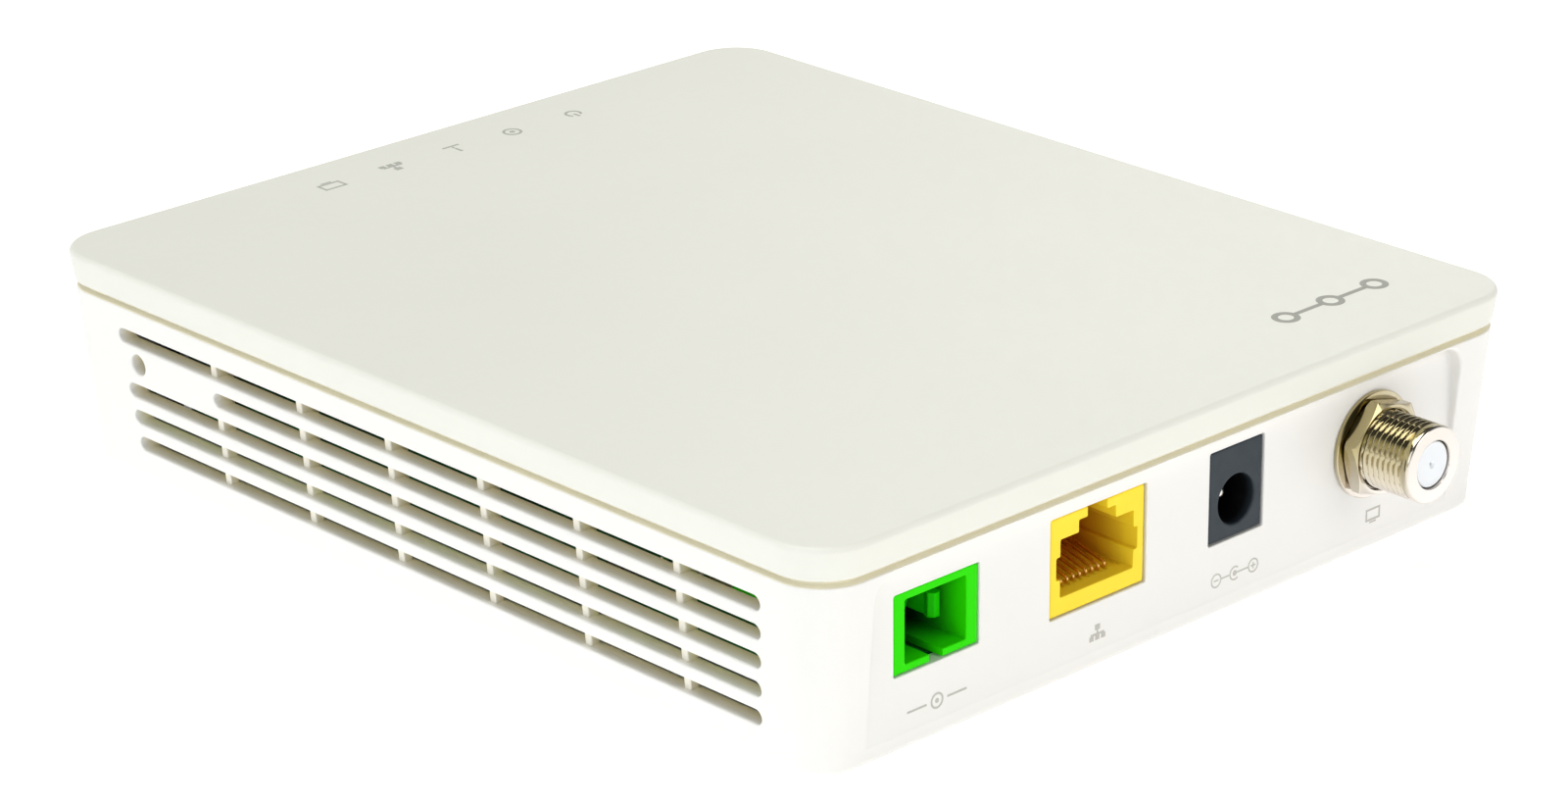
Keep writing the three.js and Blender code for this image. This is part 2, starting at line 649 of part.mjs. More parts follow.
const fibreStub = () => rod("y", 1.22, 11.5, 17.6, 0, 0, 16);

function opticalBody() {
  const { depth } = OPTICAL;
  const neck = cut(rod("y", NECK_R, 15.85, depth + 1), rod("y", 1.75, 10, 18));
  return cut(
    join(neck, block(-4.3, 4.3, depth + 0.2, BODY_BACK, -4.1, 4.1)),
    rod("x", 1.6, -5, -3.4, RECEIVER_Y, 0, 16),
    rod("x", 1.6, 3.4, 5, RECEIVER_Y, 0, 16),
  );
}

// A round metal-capped diode package with three leads; the cap points towards -Y.
function diodeCan() {
  const profile = [[0, 0], [2.1, 0], [2.1, 2.4], [2.8, 2.4], [2.8, 3.4], [0, 3.4]];
  const leads = [[0, 1.2], [1.1, -0.6], [-1.1, -0.6]].map(([x, z]) => rod("y", 0.23, 3.2, 7.4, x, z, 6));
  return join(turned(profile, 16), ...leads);
}

function opticalGroup() {
  const group = new THREE.Group();
  group.position.set(OPTICAL_X, OPTICAL_Y, OPTICAL_Z);
  const green = plastic(0x14d414, 0.4);
  const brass = metal(0xcdb878, 0.3);
  const can = metal(0xd8d2bc, 0.25);
  group.add(meshOf("optical_receptacle", opticalHousing(), green));
  group.add(meshOf("latch_insert", latchInsert(), green));
  group.add(meshOf("alignment_sleeve", alignmentSleeve(), plastic(0xf4f2ec, 0.2)));
  group.add(meshOf("fibre_stub", fibreStub(), plastic(0xf4f2ec, 0.2)));
  group.add(meshOf("optical_body", opticalBody(), brass));
  group.add(meshOf("laser_can", diodeCan(), can, 0, BODY_BACK + 0.1, 0));
  const receiver = meshOf("receiver_can", diodeCan(), can, RECEIVER_X, RECEIVER_Y, 0);
  receiver.rotation.z = -Math.PI / 2;
  const catvReceiver = meshOf("catv_receiver_can", diodeCan(), can, -RECEIVER_X, RECEIVER_Y, 0);
  catvReceiver.rotation.z = Math.PI / 2;
  group.add(receiver, catvReceiver);
  return group;
}

// ---------- Network jack (origin: middle of its front face, at the board's top) ----------

const LAN = { halfWidth: 7.65, top: 11.0, lip: -0.85, depth: 16, floor: 1.3, cavityDepth: 12.7 };
const WIRE = { count: 8, pitch: 1.02, radius: 0.2, bend: 0.35, rootY: 2.25, rootZ: 1.75 };
const wireX = (i) => (i - (WIRE.count - 1) / 2) * WIRE.pitch;

// The stepped opening: plug body, side grooves, latch step and latch slot.
function lanOpening() {
  const half = [
    [5.95, LAN.floor], [5.95, 3.5], [6.6, 3.5], [6.6, 6.2], [5.95, 6.2], [5.95, 8.3],
    [3.0, 8.3], [3.0, 9.8], [1.6, 9.8], [1.6, LAN.top + 1],
  ];
  const mirrored = half.map(([x, z]) => [-x, z]).reverse();
  return polygon([...half, ...mirrored]);
}

function lanHousing() {
  const { halfWidth, top, lip, depth, cavityDepth } = LAN;
  return cut(
    join(
      block(-halfWidth, halfWidth, 0, depth, TOUCH, top),
      block(-halfWidth, halfWidth, 0, 1.8, lip, 1),
    ),
    plateY(lanOpening(), -1, cavityDepth),
    block(-5.55, 5.55, 1.45, cavityDepth, 0.4, 2),
  );
}

// The insert that seats the spring wires: a comb along the floor and an upright back.
function contactComb() {
  const slots = Array.from({ length: WIRE.count }, (_, i) =>
    block(wireX(i) - 0.3, wireX(i) + 0.3, 1, 3.2, 1.1, 2));
  return cut(
    join(block(-5.45, 5.45, 1.55, 12.6, 0.45, LAN.floor), block(-5.45, 5.45, 11.1, 12.6, 1, 8.1)),
    ...slots,
  );
}

// One spring wire: a small bend at its root and a straight leg rising towards the back.
// The origin is the middle of the bend.
function springWire() {
  const points = [];
  for (let degrees = -100; degrees >= -250; degrees -= 30) {
    const angle = THREE.MathUtils.degToRad(degrees);
    points.push(new THREE.Vector3(0, WIRE.bend * Math.cos(angle), WIRE.bend * Math.sin(angle)));
  }
  const start = points[points.length - 1];
  for (const along of [1.5, 4.5, 7.5]) {
    points.push(new THREE.Vector3(0, start.y + along, start.z + along * 0.26));
  }
  const section = new THREE.Shape().absarc(0, 0, WIRE.radius, 0, Math.PI * 2, false);
  const path = new THREE.CatmullRomCurve3(points, false, "centripetal");
  const options = { steps: 14, curveSegments: 3, bevelEnabled: false, extrudePath: path };
  return solidOf(new THREE.ExtrudeGeometry(section, options));
}

function lanGroup() {
  const group = new THREE.Group();
  group.position.set(LAN_X, LAN_Y, BOARD_TOP_Z);
  group.add(meshOf("lan_jack", lanHousing(), plastic(0xfbe232, 0.4)));
  group.add(meshOf("lan_contact_comb", contactComb(), plastic(0xf0c818, 0.45)));
  const gold = metal(0xd8a94a, 0.25);
  for (let i = 0; i < WIRE.count; i += 1) {
    const wire = springWire();
    group.add(meshOf(`lan_contact_${i + 1}`, wire, gold, wireX(i), WIRE.rootY, WIRE.rootZ));
  }
  return group;
}

// ---------- Power inlet (origin: middle of its front face, at the board's top) ----------

const POWER = { halfWidth: 4.55, height: 11.3, depth: 13.6, boreR: 3.05, boreX: 0.2, boreZ: 4.5 };
const PIN = { radius: 1.0, tip: 2.2, end: 14.2 };

function powerHousing() {
  const { halfWidth, height, depth, boreR, boreX, boreZ } = POWER;
  return cut(
    block(-halfWidth, halfWidth, 0, depth, TOUCH, height),
    rod("y", boreR, -1, 11.2, boreX, boreZ, 28),
    rod("y", PIN.radius + CLEAR, 10, 15, boreX, boreZ, 16),
    block(boreX - 1.45, boreX + 1.45, 4.4, depth + 1, 0.5, 2.2),
  );
}

// The centre pin, with a round tip.
function powerPin() {
  const { radius, tip, end } = PIN;
  const dome = [0, 30, 60, 90].map(THREE.MathUtils.degToRad).map((angle) =>
    [radius * Math.sin(angle), tip + radius * (1 - Math.cos(angle))]);
  return turned([...dome, [radius, end], [0, end]], 16).translate([POWER.boreX, 0, POWER.boreZ]);
}

// The outer contact: a flat spring rooted at the back, its bowed tip pressing on the plug.
function powerLeaf() {
  const side = polygon([
    [13.4, 0.8], [13.4, 1.1], [8.2, 1.65], [6.9, 1.95], [5.6, 1.55], [5.6, 1.25], [6.9, 1.65], [8.2, 1.35],
  ]);
  return plateX(side, POWER.boreX - 1.2, POWER.boreX + 1.2);
}

function powerGroup() {
  const group = new THREE.Group();
  group.position.set(POWER_X, POWER_Y, BOARD_TOP_Z);
  group.add(meshOf("power_jack", powerHousing(), plastic(0x3c4048, 0.45)));
  group.add(meshOf("power_pin", powerPin(), metal(0xd6d4cc, 0.25)));
  group.add(meshOf("power_spring_contact", powerLeaf(), metal(0xd6c9a0, 0.3)));
  return group;
}

// ---------- Coaxial socket (origin: on its axis at the panel's outer face) ----------

const COAX = { crestR: 4.75, rootR: 4.32, pitch: 0.79, threads: 9, faceR: 4.4, boreR: 2.95 };
const NUT = { acrossFlats: 11, front: -2.75, back: -0.75 };

function coaxBarrel() {
  const { crestR, rootR, pitch, threads, faceR, boreR } = COAX;
  const end = -COAX_REACH;
  const profile = [[boreR, end], [faceR, end], [crestR, end + 0.4], [crestR, end + 1.0]];
  for (let i = 0; i < threads; i += 1) {
    const y = end + 1.0 + i * pitch;
    profile.push([rootR, y + pitch * 0.4], [crestR, y + pitch * 0.8], [crestR, y + pitch]);
  }
  profile.push([crestR, 3], [boreR, 3], [boreR, end]);
  const mount = cut(block(-6, 6, 2.05, 11, -4.6, 5.6), rod("y", boreR, 0, 9), rod("y", 1.5, 5, 12));
  return join(turned(profile), mount);
}

function coaxDielectric() {
  const end = -COAX_REACH + 0.25;
  const throat = end + 1.2;
  const profile = [
    [0.45, end], [2.82, end], [2.82, 8.8], [1.15, 8.8], [1.15, throat], [0.45, throat], [0.45, end],
  ];
  return turned(profile);
}

function coaxContact() {
  const front = -COAX_REACH + 1.7;
  const profile = [
    [0.5, front], [1.0, front], [1.0, 8.4], [0.5, 8.4], [0.5, 13.4], [0, 13.4], [0, 6], [0.5, 6],
    [0.5, front],
  ];
  return turned(profile, 16);
}

// A hexagon nut with its corners turned off on both faces.
function coaxNut() {
  const { acrossFlats, front, back } = NUT;
  const corner = acrossFlats / Math.sqrt(3);
  const points = Array.from({ length: 6 }, (_, i) => {
    const angle = THREE.MathUtils.degToRad(60 * i - 15);
    return [corner * Math.cos(angle), corner * Math.sin(angle)];
  });
  const limit = [[0, front], [5.45, front], [6.5, front + 0.4], [6.5, back - 0.35], [5.6, back], [0, back]];
  const hexagon = plateY(polygon(points), front, back);
  return cut(hexagon.intersect(turned(limit, 30)), rod("y", COAX.crestR + 0.12, -5, 1, 0, 0, 24));
}

const coaxWasher = () =>
  turned([[4.9, -0.65], [6.45, -0.65], [6.6, -0.5], [6.6, -TOUCH], [4.9, -TOUCH], [4.9, -0.65]], 28);

function coaxGroup() {
  const group = new THREE.Group();
  group.position.set(COAX_X, PANEL_Y, COAX_Z);
  const nickel = metal(0xcfc6ac, 0.22);
  group.add(meshOf("coax_barrel", coaxBarrel(), nickel));
  group.add(meshOf("coax_dielectric", coaxDielectric(), plastic(0xf2f5f8, 0.35)));
  group.add(meshOf("coax_contact", coaxContact(), metal(0xc8a860, 0.3)));
  group.add(meshOf("coax_nut", coaxNut(), nickel));
  group.add(meshOf("coax_washer", coaxWasher(), nickel));
  return group;
}

// ---------- Reset switch (origin: on its button's axis at the front of the body) ----------

function switchBody() {
  const foot = BOARD_TOP_Z - RESET_Z + TOUCH;
  return cut(block(0, 3.8, -3.1, 3.1, foot, 3.1), rod("x", 2.45, -1, 1.9));
}

function switchBracket() {
  const foot = BOARD_TOP_Z - RESET_Z + TOUCH;
  const wrap = cut(
    block(-0.4, 3.2, -3.55, 3.55, foot, 3.55),
    block(-0.1, 5, -3.2, 3.2, foot - 1, 3.2),
    block(-1, 5, -2.0, 2.0, foot - 1, foot + 2.2),
  );
  return cut(wrap, rod("x", 1.9, -2, 2));
}

const resetButton = () => join(rod("x", 1.7, -1.8, 0.9), rod("x", 2.25, 0.15, 1.3));

function resetGroup() {
  const group = new THREE.Group();
  group.position.set(SWITCH_X, RESET_Y, RESET_Z);
  group.add(meshOf("reset_switch_body", switchBody(), plastic(0x202124, 0.6)));
  group.add(meshOf("reset_switch_bracket", switchBracket(), metal(0xc9c8c4, 0.35)));
  group.add(meshOf("reset_button", resetButton(), plastic(0x2c2d30, 0.55)));
  return group;
}

// ---------- Assembly ----------

const terminal = new THREE.Group();
terminal.add(caseGroup(), boardGroup(), opticalGroup(), lanGroup());
terminal.add(powerGroup(), coaxGroup(), resetGroup());

export default terminal;
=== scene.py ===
import json
import math
from contextlib import contextmanager

import bmesh
import bpy
from mathutils import Matrix, Vector


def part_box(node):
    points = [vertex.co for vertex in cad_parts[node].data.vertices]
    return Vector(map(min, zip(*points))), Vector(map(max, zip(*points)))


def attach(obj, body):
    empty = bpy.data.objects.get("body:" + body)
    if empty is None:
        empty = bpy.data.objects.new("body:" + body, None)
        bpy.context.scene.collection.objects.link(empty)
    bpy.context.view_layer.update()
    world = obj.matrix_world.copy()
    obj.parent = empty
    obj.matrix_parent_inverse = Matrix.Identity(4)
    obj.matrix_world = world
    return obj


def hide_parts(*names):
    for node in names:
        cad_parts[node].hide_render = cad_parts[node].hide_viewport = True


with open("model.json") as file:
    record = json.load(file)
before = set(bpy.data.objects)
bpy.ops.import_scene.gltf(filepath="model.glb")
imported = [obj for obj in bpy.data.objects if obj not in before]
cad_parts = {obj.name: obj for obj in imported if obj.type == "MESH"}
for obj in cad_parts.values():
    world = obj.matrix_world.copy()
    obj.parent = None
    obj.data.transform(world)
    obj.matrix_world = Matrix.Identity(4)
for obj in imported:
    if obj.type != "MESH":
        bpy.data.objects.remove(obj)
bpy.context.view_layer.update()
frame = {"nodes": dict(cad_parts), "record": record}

MM = 0.001
scene = bpy.context.scene


def box_mm(node):
    """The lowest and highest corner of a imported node, in millimetres."""
    return tuple([c / MM for c in corner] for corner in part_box(node))


def middle(node, axis):
    low, high = box_mm(node)
    return (low[axis] + high[axis]) / 2


# ---------- Driving dimensions (mm) ----------

CASE_WIDTH, CASE_DEPTH, CASE_CORNER = 115.2, 135.6, 6.3
BASE_DRAFT, BASE_HEIGHT = 2.2, 23.7
COVER_FLARE, COVER_HEIGHT = 0.69, 4.5
BASE_EDGE, COVER_EDGE, RIM_EDGE = 1.0, 0.8, 0.22
WALL, FLOOR, CEILING = 2.4, 1.8, 1.8
TONGUE_SETBACK, TONGUE_HEIGHT, CLEAR = 1.15, 2.2, 0.15
RIM_HEIGHT, SKIRT_HEIGHT = 23.3, 4.1
WASHER_GAP, INK_THICKNESS = 0.05, 0.02
CORNER_STEPS, EDGE_STEPS = 16, 6
TERMINAL = "terminal"

UNDER_Z = box_mm("base_shell")[0][2]
RIM_Z = UNDER_Z + RIM_HEIGHT
SEAM_Z = UNDER_Z + BASE_HEIGHT
COVER_LOW_Z = box_mm("top_cover")[1][2] - SKIRT_HEIGHT
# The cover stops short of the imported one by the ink's thickness, so its marks stay inside the box.
TOP_Z = box_mm("top_cover")[1][2] - INK_THICKNESS
CASE_Y = middle("base_shell", 1)
PORT_Y = CASE_Y - CASE_DEPTH / 2
PANEL_Y = box_mm("coax_washer")[1][1] + WASHER_GAP
BOARD_TOP_Z = box_mm("main_board")[1][2]

# The middle of each socket across, its front face, and its middle or the board under it in height.
OPTICAL = (middle("latch_insert", 0), box_mm("optical_receptacle")[0][1], middle("optical_receptacle", 2))
LAN = (middle("lan_jack", 0), box_mm("lan_jack")[0][1], BOARD_TOP_Z)
POWER = (middle("power_jack", 0), box_mm("power_jack")[0][1], BOARD_TOP_Z)
COAX = (middle("coax_nut", 0), PANEL_Y, middle("coax_nut", 2))
COAX_END = box_mm("coax_barrel")[0][1] - PANEL_Y


def base_offset(z):
    """How far the base's wall stands out from the seam outline at a height."""
    return -BASE_DRAFT * (SEAM_Z - z) / BASE_HEIGHT


def cover_offset(z):
    """How far the cover's wall stands out from the seam outline at a height."""
    return COVER_FLARE * (z - SEAM_Z) / COVER_HEIGHT


# ---------- Outlines ----------


def arc(centre, radius, start, end, steps):
    """Points of an arc in degrees, both ends included."""
    angles = [math.radians(start + (end - start) * i / steps) for i in range(steps + 1)]
    return [(centre[0] + radius * math.cos(a), centre[1] + radius * math.sin(a)) for a in angles]


def bar(u0, u1, v0, v1):
    """An anticlockwise rectangle between two values on each axis."""
    return [(u0, v0), (u1, v0), (u1, v1), (u0, v1)]


def rounded_rectangle(width, height, radius, centre=(0, 0), steps=5):
    """An anticlockwise rectangle with its corners turned into arcs."""
    u, v = width / 2 - radius, height / 2 - radius
    corners = [(u, -v, -90), (u, v, 0), (-u, v, 90), (-u, -v, 180)]
    return [
        point
        for x, y, start in corners
        for point in arc((centre[0] + x, centre[1] + y), radius, start, start + 90, steps)
    ]


def circle(radius, centre=(0, 0), steps=48):
    return arc(centre, radius, 0, 360 * (steps - 1) / steps, steps - 1)


def filleted(points, radius, steps=3):
    """The same outline with each corner turned into a curve of the radius, where its sides leave room."""
    longest_share = 0.48
    made = []
    count = len(points)
    for i, point in enumerate(points):
        here = Vector(point)
        to_last, to_next = Vector(points[i - 1]) - here, Vector(points[(i + 1) % count]) - here
        half = to_last.angle(to_next) / 2
        room = min(to_last.length * longest_share, to_next.length * longest_share)
        reach = min(radius / math.tan(half), room)
        a, b = here + to_last.normalized() * reach, here + to_next.normalized() * reach
        for k in range(steps + 1):
            t = k / steps
            made.append(tuple(a * (1 - t) ** 2 + here * 2 * t * (1 - t) + b * t ** 2))
    return made


def outset(points, distance):
    """The outline moved outwards by a distance along mitred normals; it runs anticlockwise."""
    if distance == 0:
        return list(points)
    sharpest_miter = 0.4
    made = []
    count = len(points)
    for i, point in enumerate(points):
        here = Vector(point)
        before = (here - Vector(points[i - 1])).normalized()
        after = (Vector(points[(i + 1) % count]) - here).normalized()
        n0, n1 = Vector((before.y, -before.x)), Vector((after.y, -after.x))
        miter = n0 + n1
        made.append(tuple(here + miter * (distance * 2 / max(miter.length_squared, sharpest_miter))))
    return made


# ---------- Mesh building ----------


@contextmanager
def edited(mesh):
    """Opens a mesh for editing and writes the result back."""
    work = bmesh.new()
    work.from_mesh(mesh)
    yield work
    work.to_mesh(mesh)
    work.free()


def build(name, points, faces):
    """A mesh object still in millimetres, with its faces turned outwards."""
    mesh = bpy.data.meshes.new(name)
    mesh.from_pydata([Vector(p) for p in points], [], faces)
    with edited(mesh) as work:
        bmesh.ops.recalc_face_normals(work, faces=work.faces)
    obj = bpy.data.objects.new(name, mesh)
    scene.collection.objects.link(obj)
    return obj


def skin(name, rings, closed=False):
    """Skins rings of equal length; the two ends are capped, or joined to each other when closed."""
    count = len(rings[0])
    points = [point for ring in rings for point in ring]
    faces = []
    for k in range(len(rings) if closed else len(rings) - 1):
        a, b = k * count, (k + 1) % len(rings) * count
        faces += [(a + i, a + (i + 1) % count, b + (i + 1) % count, b + i) for i in range(count)]
    if not closed:
        faces.append(tuple(reversed(range(count))))
        faces.append(tuple(range(len(points) - count, len(points))))
    return build(name, points, faces)


def edge_profile(radius, steps=3):
    """(depth, inset) pairs of a quarter-round edge, from the face inwards."""
    angles = [math.radians(90 * i / steps) for i in range(steps + 1)]
    return [(radius * (1 - math.cos(a)), radius * (1 - math.sin(a))) for a in angles]


def swept(name, outline, place, stations):
    """Skins an outline through stations, each a depth and a distance outwards."""
    return skin(name, [[place(u, v, d) for u, v in outset(outline, o)] for d, o in stations])


def prism(name, outline, place, start, end, front=0.25, back=0.1):
    """An outline swept from one depth to another, with rounded front and back edges."""
    stations = [(start + depth, -inset) for depth, inset in edge_profile(front)]
    stations += [(end - depth, -inset) for depth, inset in reversed(edge_profile(back))]
    return swept(name, outline, place, stations)


CUTTER_LEAD, MOUTH_SINK = 1.0, 0.004


def flared(outline, place, depth, flare=0.2):
    """A cutter whose mouth widens in a quarter round, so that the hole it cuts has a soft edge."""
    stations = [(-CUTTER_LEAD, flare), (-MOUTH_SINK, flare), *edge_profile(flare)[1:], (depth, 0)]
    return swept("cutter", outline, place, stations)


def block(x0, x1, y0, y1, z0, z1, at=(0, 0, 0)):
    """A box between two values on each axis, counted from a place."""
    corners = bar(x0, x1, y0, y1)
    return skin("cutter", [[(at[0] + x, at[1] + y, at[2] + z) for x, y in corners] for z in (z0, z1)])


def turned_z(name, profile, x, y, steps=48):
    """Turns a profile of (radius, z) about an upright axis, with flat ends."""
    return skin(name, [[(u, v, z) for u, v in circle(radius, (x, y), steps)] for radius, z in profile])


def rod_z(radius, z0, z1, x, y):
    """An upright rod, to cut a hole or to join to a shell."""
    return turned_z("cutter", [(radius, z0), (radius, z1)], x, y, 32)


def on_y(origin):
    """Places (u, v, depth) on a face that looks towards -Y."""
    return lambda u, v, d: (origin[0] + u, origin[1] + d, origin[2] + v)


def below(u, v, d):
    """Places (x, y, depth) on the underside."""
    return (u, v, UNDER_Z + d)


def turned(name, profile, origin, steps=64, closed=True):
    """Turns a profile of (radius, y) about the Y axis through the origin; an open one gets flat ends."""
    rings = [
        [(origin[0] + u, origin[1] + y, origin[2] + v) for u, v in circle(radius, (0, 0), steps)]
        for radius, y in profile
    ]
    return skin(name, rings, closed)


def rod_y(radius, y0, y1, origin, steps=32):
    """A rod along the Y axis through the origin, to cut a bore."""
    return turned("cutter", [(radius, y0), (radius, y1)], origin, steps, False)


def evaluated(obj):
    """Swaps the object's mesh for its modified one."""
    graph = bpy.context.evaluated_depsgraph_get()
    mesh = bpy.data.meshes.new_from_object(obj.evaluated_get(graph))
    obj.modifiers.clear()
    obj.data = mesh
    return obj


def merged(tools):
    """Joins separate cutters into one object."""
    first, *others = tools
    with edited(first.data) as work:
        for tool in others:
            work.from_mesh(tool.data)
            bpy.data.objects.remove(tool)
    return first


def triangulate(obj):
    """Cuts every face into triangles, which the boolean solver needs."""
    with edited(obj.data) as work:
        bmesh.ops.triangulate(work, faces=work.faces)


WELD_DISTANCE, COPLANAR = 1e-4, math.radians(0.3)


def boolean(target, tools, operation="DIFFERENCE"):
    """Cuts the tools from the target, or joins them to it, and removes the tools."""
    triangulate(target)
    for tool in tools:
        triangulate(tool)
        modifier = target.modifiers.new("boolean", "BOOLEAN")
        modifier.operation = operation
        modifier.solver = "MANIFOLD"
        modifier.object = tool
    evaluated(target)
    for tool in tools:
        bpy.data.objects.remove(tool)
    with edited(target.data) as work:
        bmesh.ops.remove_doubles(work, verts=work.verts, dist=WELD_DISTANCE)
        bmesh.ops.dissolve_degenerate(work, dist=WELD_DISTANCE, edges=work.edges)
        bmesh.ops.dissolve_limit(work, angle_limit=COPLANAR, verts=work.verts, edges=work.edges)
    return target


def bevel(obj, width, angle):
    """Rounds the edges that are sharper than the angle."""
    modifier = obj.modifiers.new("bevel", "BEVEL")
    modifier.width = width
    modifier.segments = 2
    modifier.limit_method = "ANGLE"
    modifier.angle_limit = math.radians(angle)
    modifier.miter_outer = "MITER_ARC"
    modifier.use_clamp_overlap = True
    return evaluated(obj)


def smooth(obj, angle):
    """Smooth shading with hard edges above the angle, and normals weighted by face area."""
    with edited(obj.data) as work:
        for face in work.faces:
            face.smooth = True
        for edge in work.edges:
            edge.smooth = len(edge.link_faces) == 2 and edge.calc_face_angle(0) < math.radians(angle)
    modifier = obj.modifiers.new("normals", "WEIGHTED_NORMAL")
    modifier.keep_sharp = True


def finish_piece(obj, name, color, node=None, body=TERMINAL, angle=33):
    """Names, shades and paints a piece with the paint of the colour's name, ties it to its body, and hides
    the imported node it stands for, if one is given; a printed mark stands for no node."""
    obj.name = name
    obj.data.name = name
    obj.data.transform(Matrix.Scale(MM, 4))
    obj.data.materials.clear()
    obj.data.materials.append(paint[color])
    smooth(obj, angle)
    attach(obj, body)
    if node:
        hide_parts(node)


# ---------- Materials ----------


# Every material by its name; the ones in the record's slots are named after their slots.
paint = {}


def feed(target, value):
    """Gives an input another node's output, a colour or a number."""
    if isinstance(value, bpy.types.NodeSocket):
        value.id_data.links.new(value, target)
    else:
        target.default_value = (*value, 1) if target.type == "RGBA" else value


def add_node(tree, kind, inputs, output, **settings):
    """Adds a node with its settings and inputs, and gives its output."""
    made = tree.nodes.new(kind)
    for key, value in settings.items():
        setattr(made, key, value)
    for socket, value in inputs.items():
        feed(made.inputs[socket], value)
    return made.outputs[output]


class Paint:
    """A node material with short calls for the textures that every finish here is made from."""

    def __init__(self, name, color, roughness, metallic=0.0, **sockets):
        paint[name] = bpy.data.materials.new(name)
        paint[name].use_nodes = True
        self.tree = paint[name].node_tree
        self.roughness = roughness
        self.place = self.node("ShaderNodeTexCoord", {}, "Object")
        self.bumps = {}
        self.feed(Base_Color=color, Roughness=roughness, Metallic=metallic, **sockets)

    def node(self, kind, inputs, output, **settings):
        return add_node(self.tree, kind, inputs, output, **settings)

    def feed(self, **sockets):
        """Feeds the shader's inputs, named with underscores for spaces."""
        for socket, value in sockets.items():
            feed(self.tree.nodes["Principled BSDF"].inputs[socket.replace("_", " ")], value)

    def axis(self, letter):
        """The place's X, Y or Z, in metres."""
        return self.node("ShaderNodeSeparateXYZ", {"Vector": self.place}, letter)

    def maths(self, operation, first, second=0.0, clamp=False):
        """A sum, product and so on of outputs or numbers."""
        inputs = {0: first, 1: second}
        return self.node("ShaderNodeMath", inputs, "Value", operation=operation, use_clamp=clamp)

    def noise(self, scale, detail=2.0, stretch=(1, 1, 1)):
        """Noise whose scale counts features per metre, stretched along the axes."""
        place = self.node("ShaderNodeMapping", {"Vector": self.place, "Scale": stretch}, "Vector")
        return self.node("ShaderNodeTexNoise", {"Vector": place, "Scale": scale, "Detail": detail}, "Fac")

    def ramp(self, value, low, high, first, last):
        """Maps a value's range to a range of numbers."""
        inputs = {"Value": value, "From Min": low, "From Max": high, "To Min": first, "To Max": last}
        return self.node("ShaderNodeMapRange", inputs, "Result")

    def span(self, value, low, high, first, last):
        """Maps a stretch given in millimetres to a range of numbers."""
        return self.ramp(value, low * MM, high * MM, first, last)

    def mixed(self, value, first, second):
        """A mix by a value of two colours, each a tuple or an output."""
        inputs = {"Factor": value, "A": first, "B": second}
        return self.node("ShaderNodeMix", inputs, "Result", data_type="RGBA")

    def tint(self, value, first, second):
        """Mixes the base colour of two colours by a value."""
        self.feed(Base_Color=self.mixed(value, first, second))

    def gloss(self, value, low, high):
        """Varies the roughness over the middle part of a noise."""
        self.feed(Roughness=self.ramp(value, 0.3, 0.7, low, high))

    def bump(self, value, height, strength=1.0):
        """Raises the surface by a height in millimetres where the value is high."""
        inputs = {"Distance": height * MM, "Strength": strength, "Height": value, **self.bumps}
        self.bumps["Normal"] = self.node("ShaderNodeBump", inputs, "Normal")
        self.feed(**self.bumps)

    def mould_texture(self, patch_scale, grain_scale, grain):
        """The surface of a moulding: patchy gloss, slow sink-mark waves and a fine etched grain."""
        self.gloss(self.noise(patch_scale, 3), self.roughness - 0.05, self.roughness + 0.06)
        self.bump(self.noise(60, 1), 0.02, 0.25)
        self.bump(self.noise(grain_scale, 3), grain)


def shade(color, factor):
    """A colour made darker or lighter by a factor."""
    return tuple(min(1.0, c * factor) for c in color)


def moulded(name, color, roughness, grain=0.006, spread=0.05, grain_scale=5200, **sockets):
    """Moulded plastic with a slight drift of its colour."""
    made = Paint(name, color, roughness, **sockets)
    drift = made.ramp(made.noise(28, 3), 0.3, 0.7, 0, 1)
    made.tint(drift, shade(color, 1 - spread), shade(color, 1 + spread * 0.6))
    made.mould_texture(grain_scale / 9, grain_scale, grain)


# Where painted shade tints the base's plastic warm, in mm from the side walls' outer faces, from the socket
# side's edge, above the floor and below the rim.
SHADE_TINT_ZONES = {"side": (0.4, 2.0), "near": (7.5, 9.5), "far": (124.5, 126.5), "floor": (0, 0.5), "rim": 0.12}


def case_plastic(name):
    """The base's white plastic, with a warm painted shade inside the vent slots, in the seam and on the inner
    walls.
    """
    made = Paint(name, BASE_WHITE, 0.44)
    x, y, z = made.axis("X"), made.axis("Y"), made.axis("Z")
    lean = made.span(z, UNDER_Z, SEAM_Z, -BASE_DRAFT * MM, 0)
    outward = made.maths("SUBTRACT", made.maths("ABSOLUTE", x), lean)
    outer, inner_floor = CASE_WIDTH / 2, UNDER_Z + FLOOR
    # slots: painted shade, the warm tint inside the vent slots and on the inner walls near them.
    slots = made.span(outward, outer - SHADE_TINT_ZONES["side"][0], outer - SHADE_TINT_ZONES["side"][1], 0, 1)
    limits = [
        made.span(y, PORT_Y + SHADE_TINT_ZONES["near"][0], PORT_Y + SHADE_TINT_ZONES["near"][1], 0, 1),
        made.span(y, PORT_Y + SHADE_TINT_ZONES["far"][0], PORT_Y + SHADE_TINT_ZONES["far"][1], 1, 0),
        made.span(z, inner_floor + SHADE_TINT_ZONES["floor"][0], inner_floor + SHADE_TINT_ZONES["floor"][1], 0, 1),
    ]
    for limit in limits:
        slots = made.maths("MULTIPLY", slots, limit)
    # seam: painted shade, the cream tint on the rim and the tongue inside the seam's gap.
    seam = made.span(z, RIM_Z - SHADE_TINT_ZONES["rim"], RIM_Z, 0, 1)
    made.tint(made.maths("MAXIMUM", slots, seam), BASE_WHITE, made.mixed(seam, SLOT_SHADE_BEIGE, SEAM_SHADE_CREAM))
    made.mould_texture(580, 5200, 0.006)


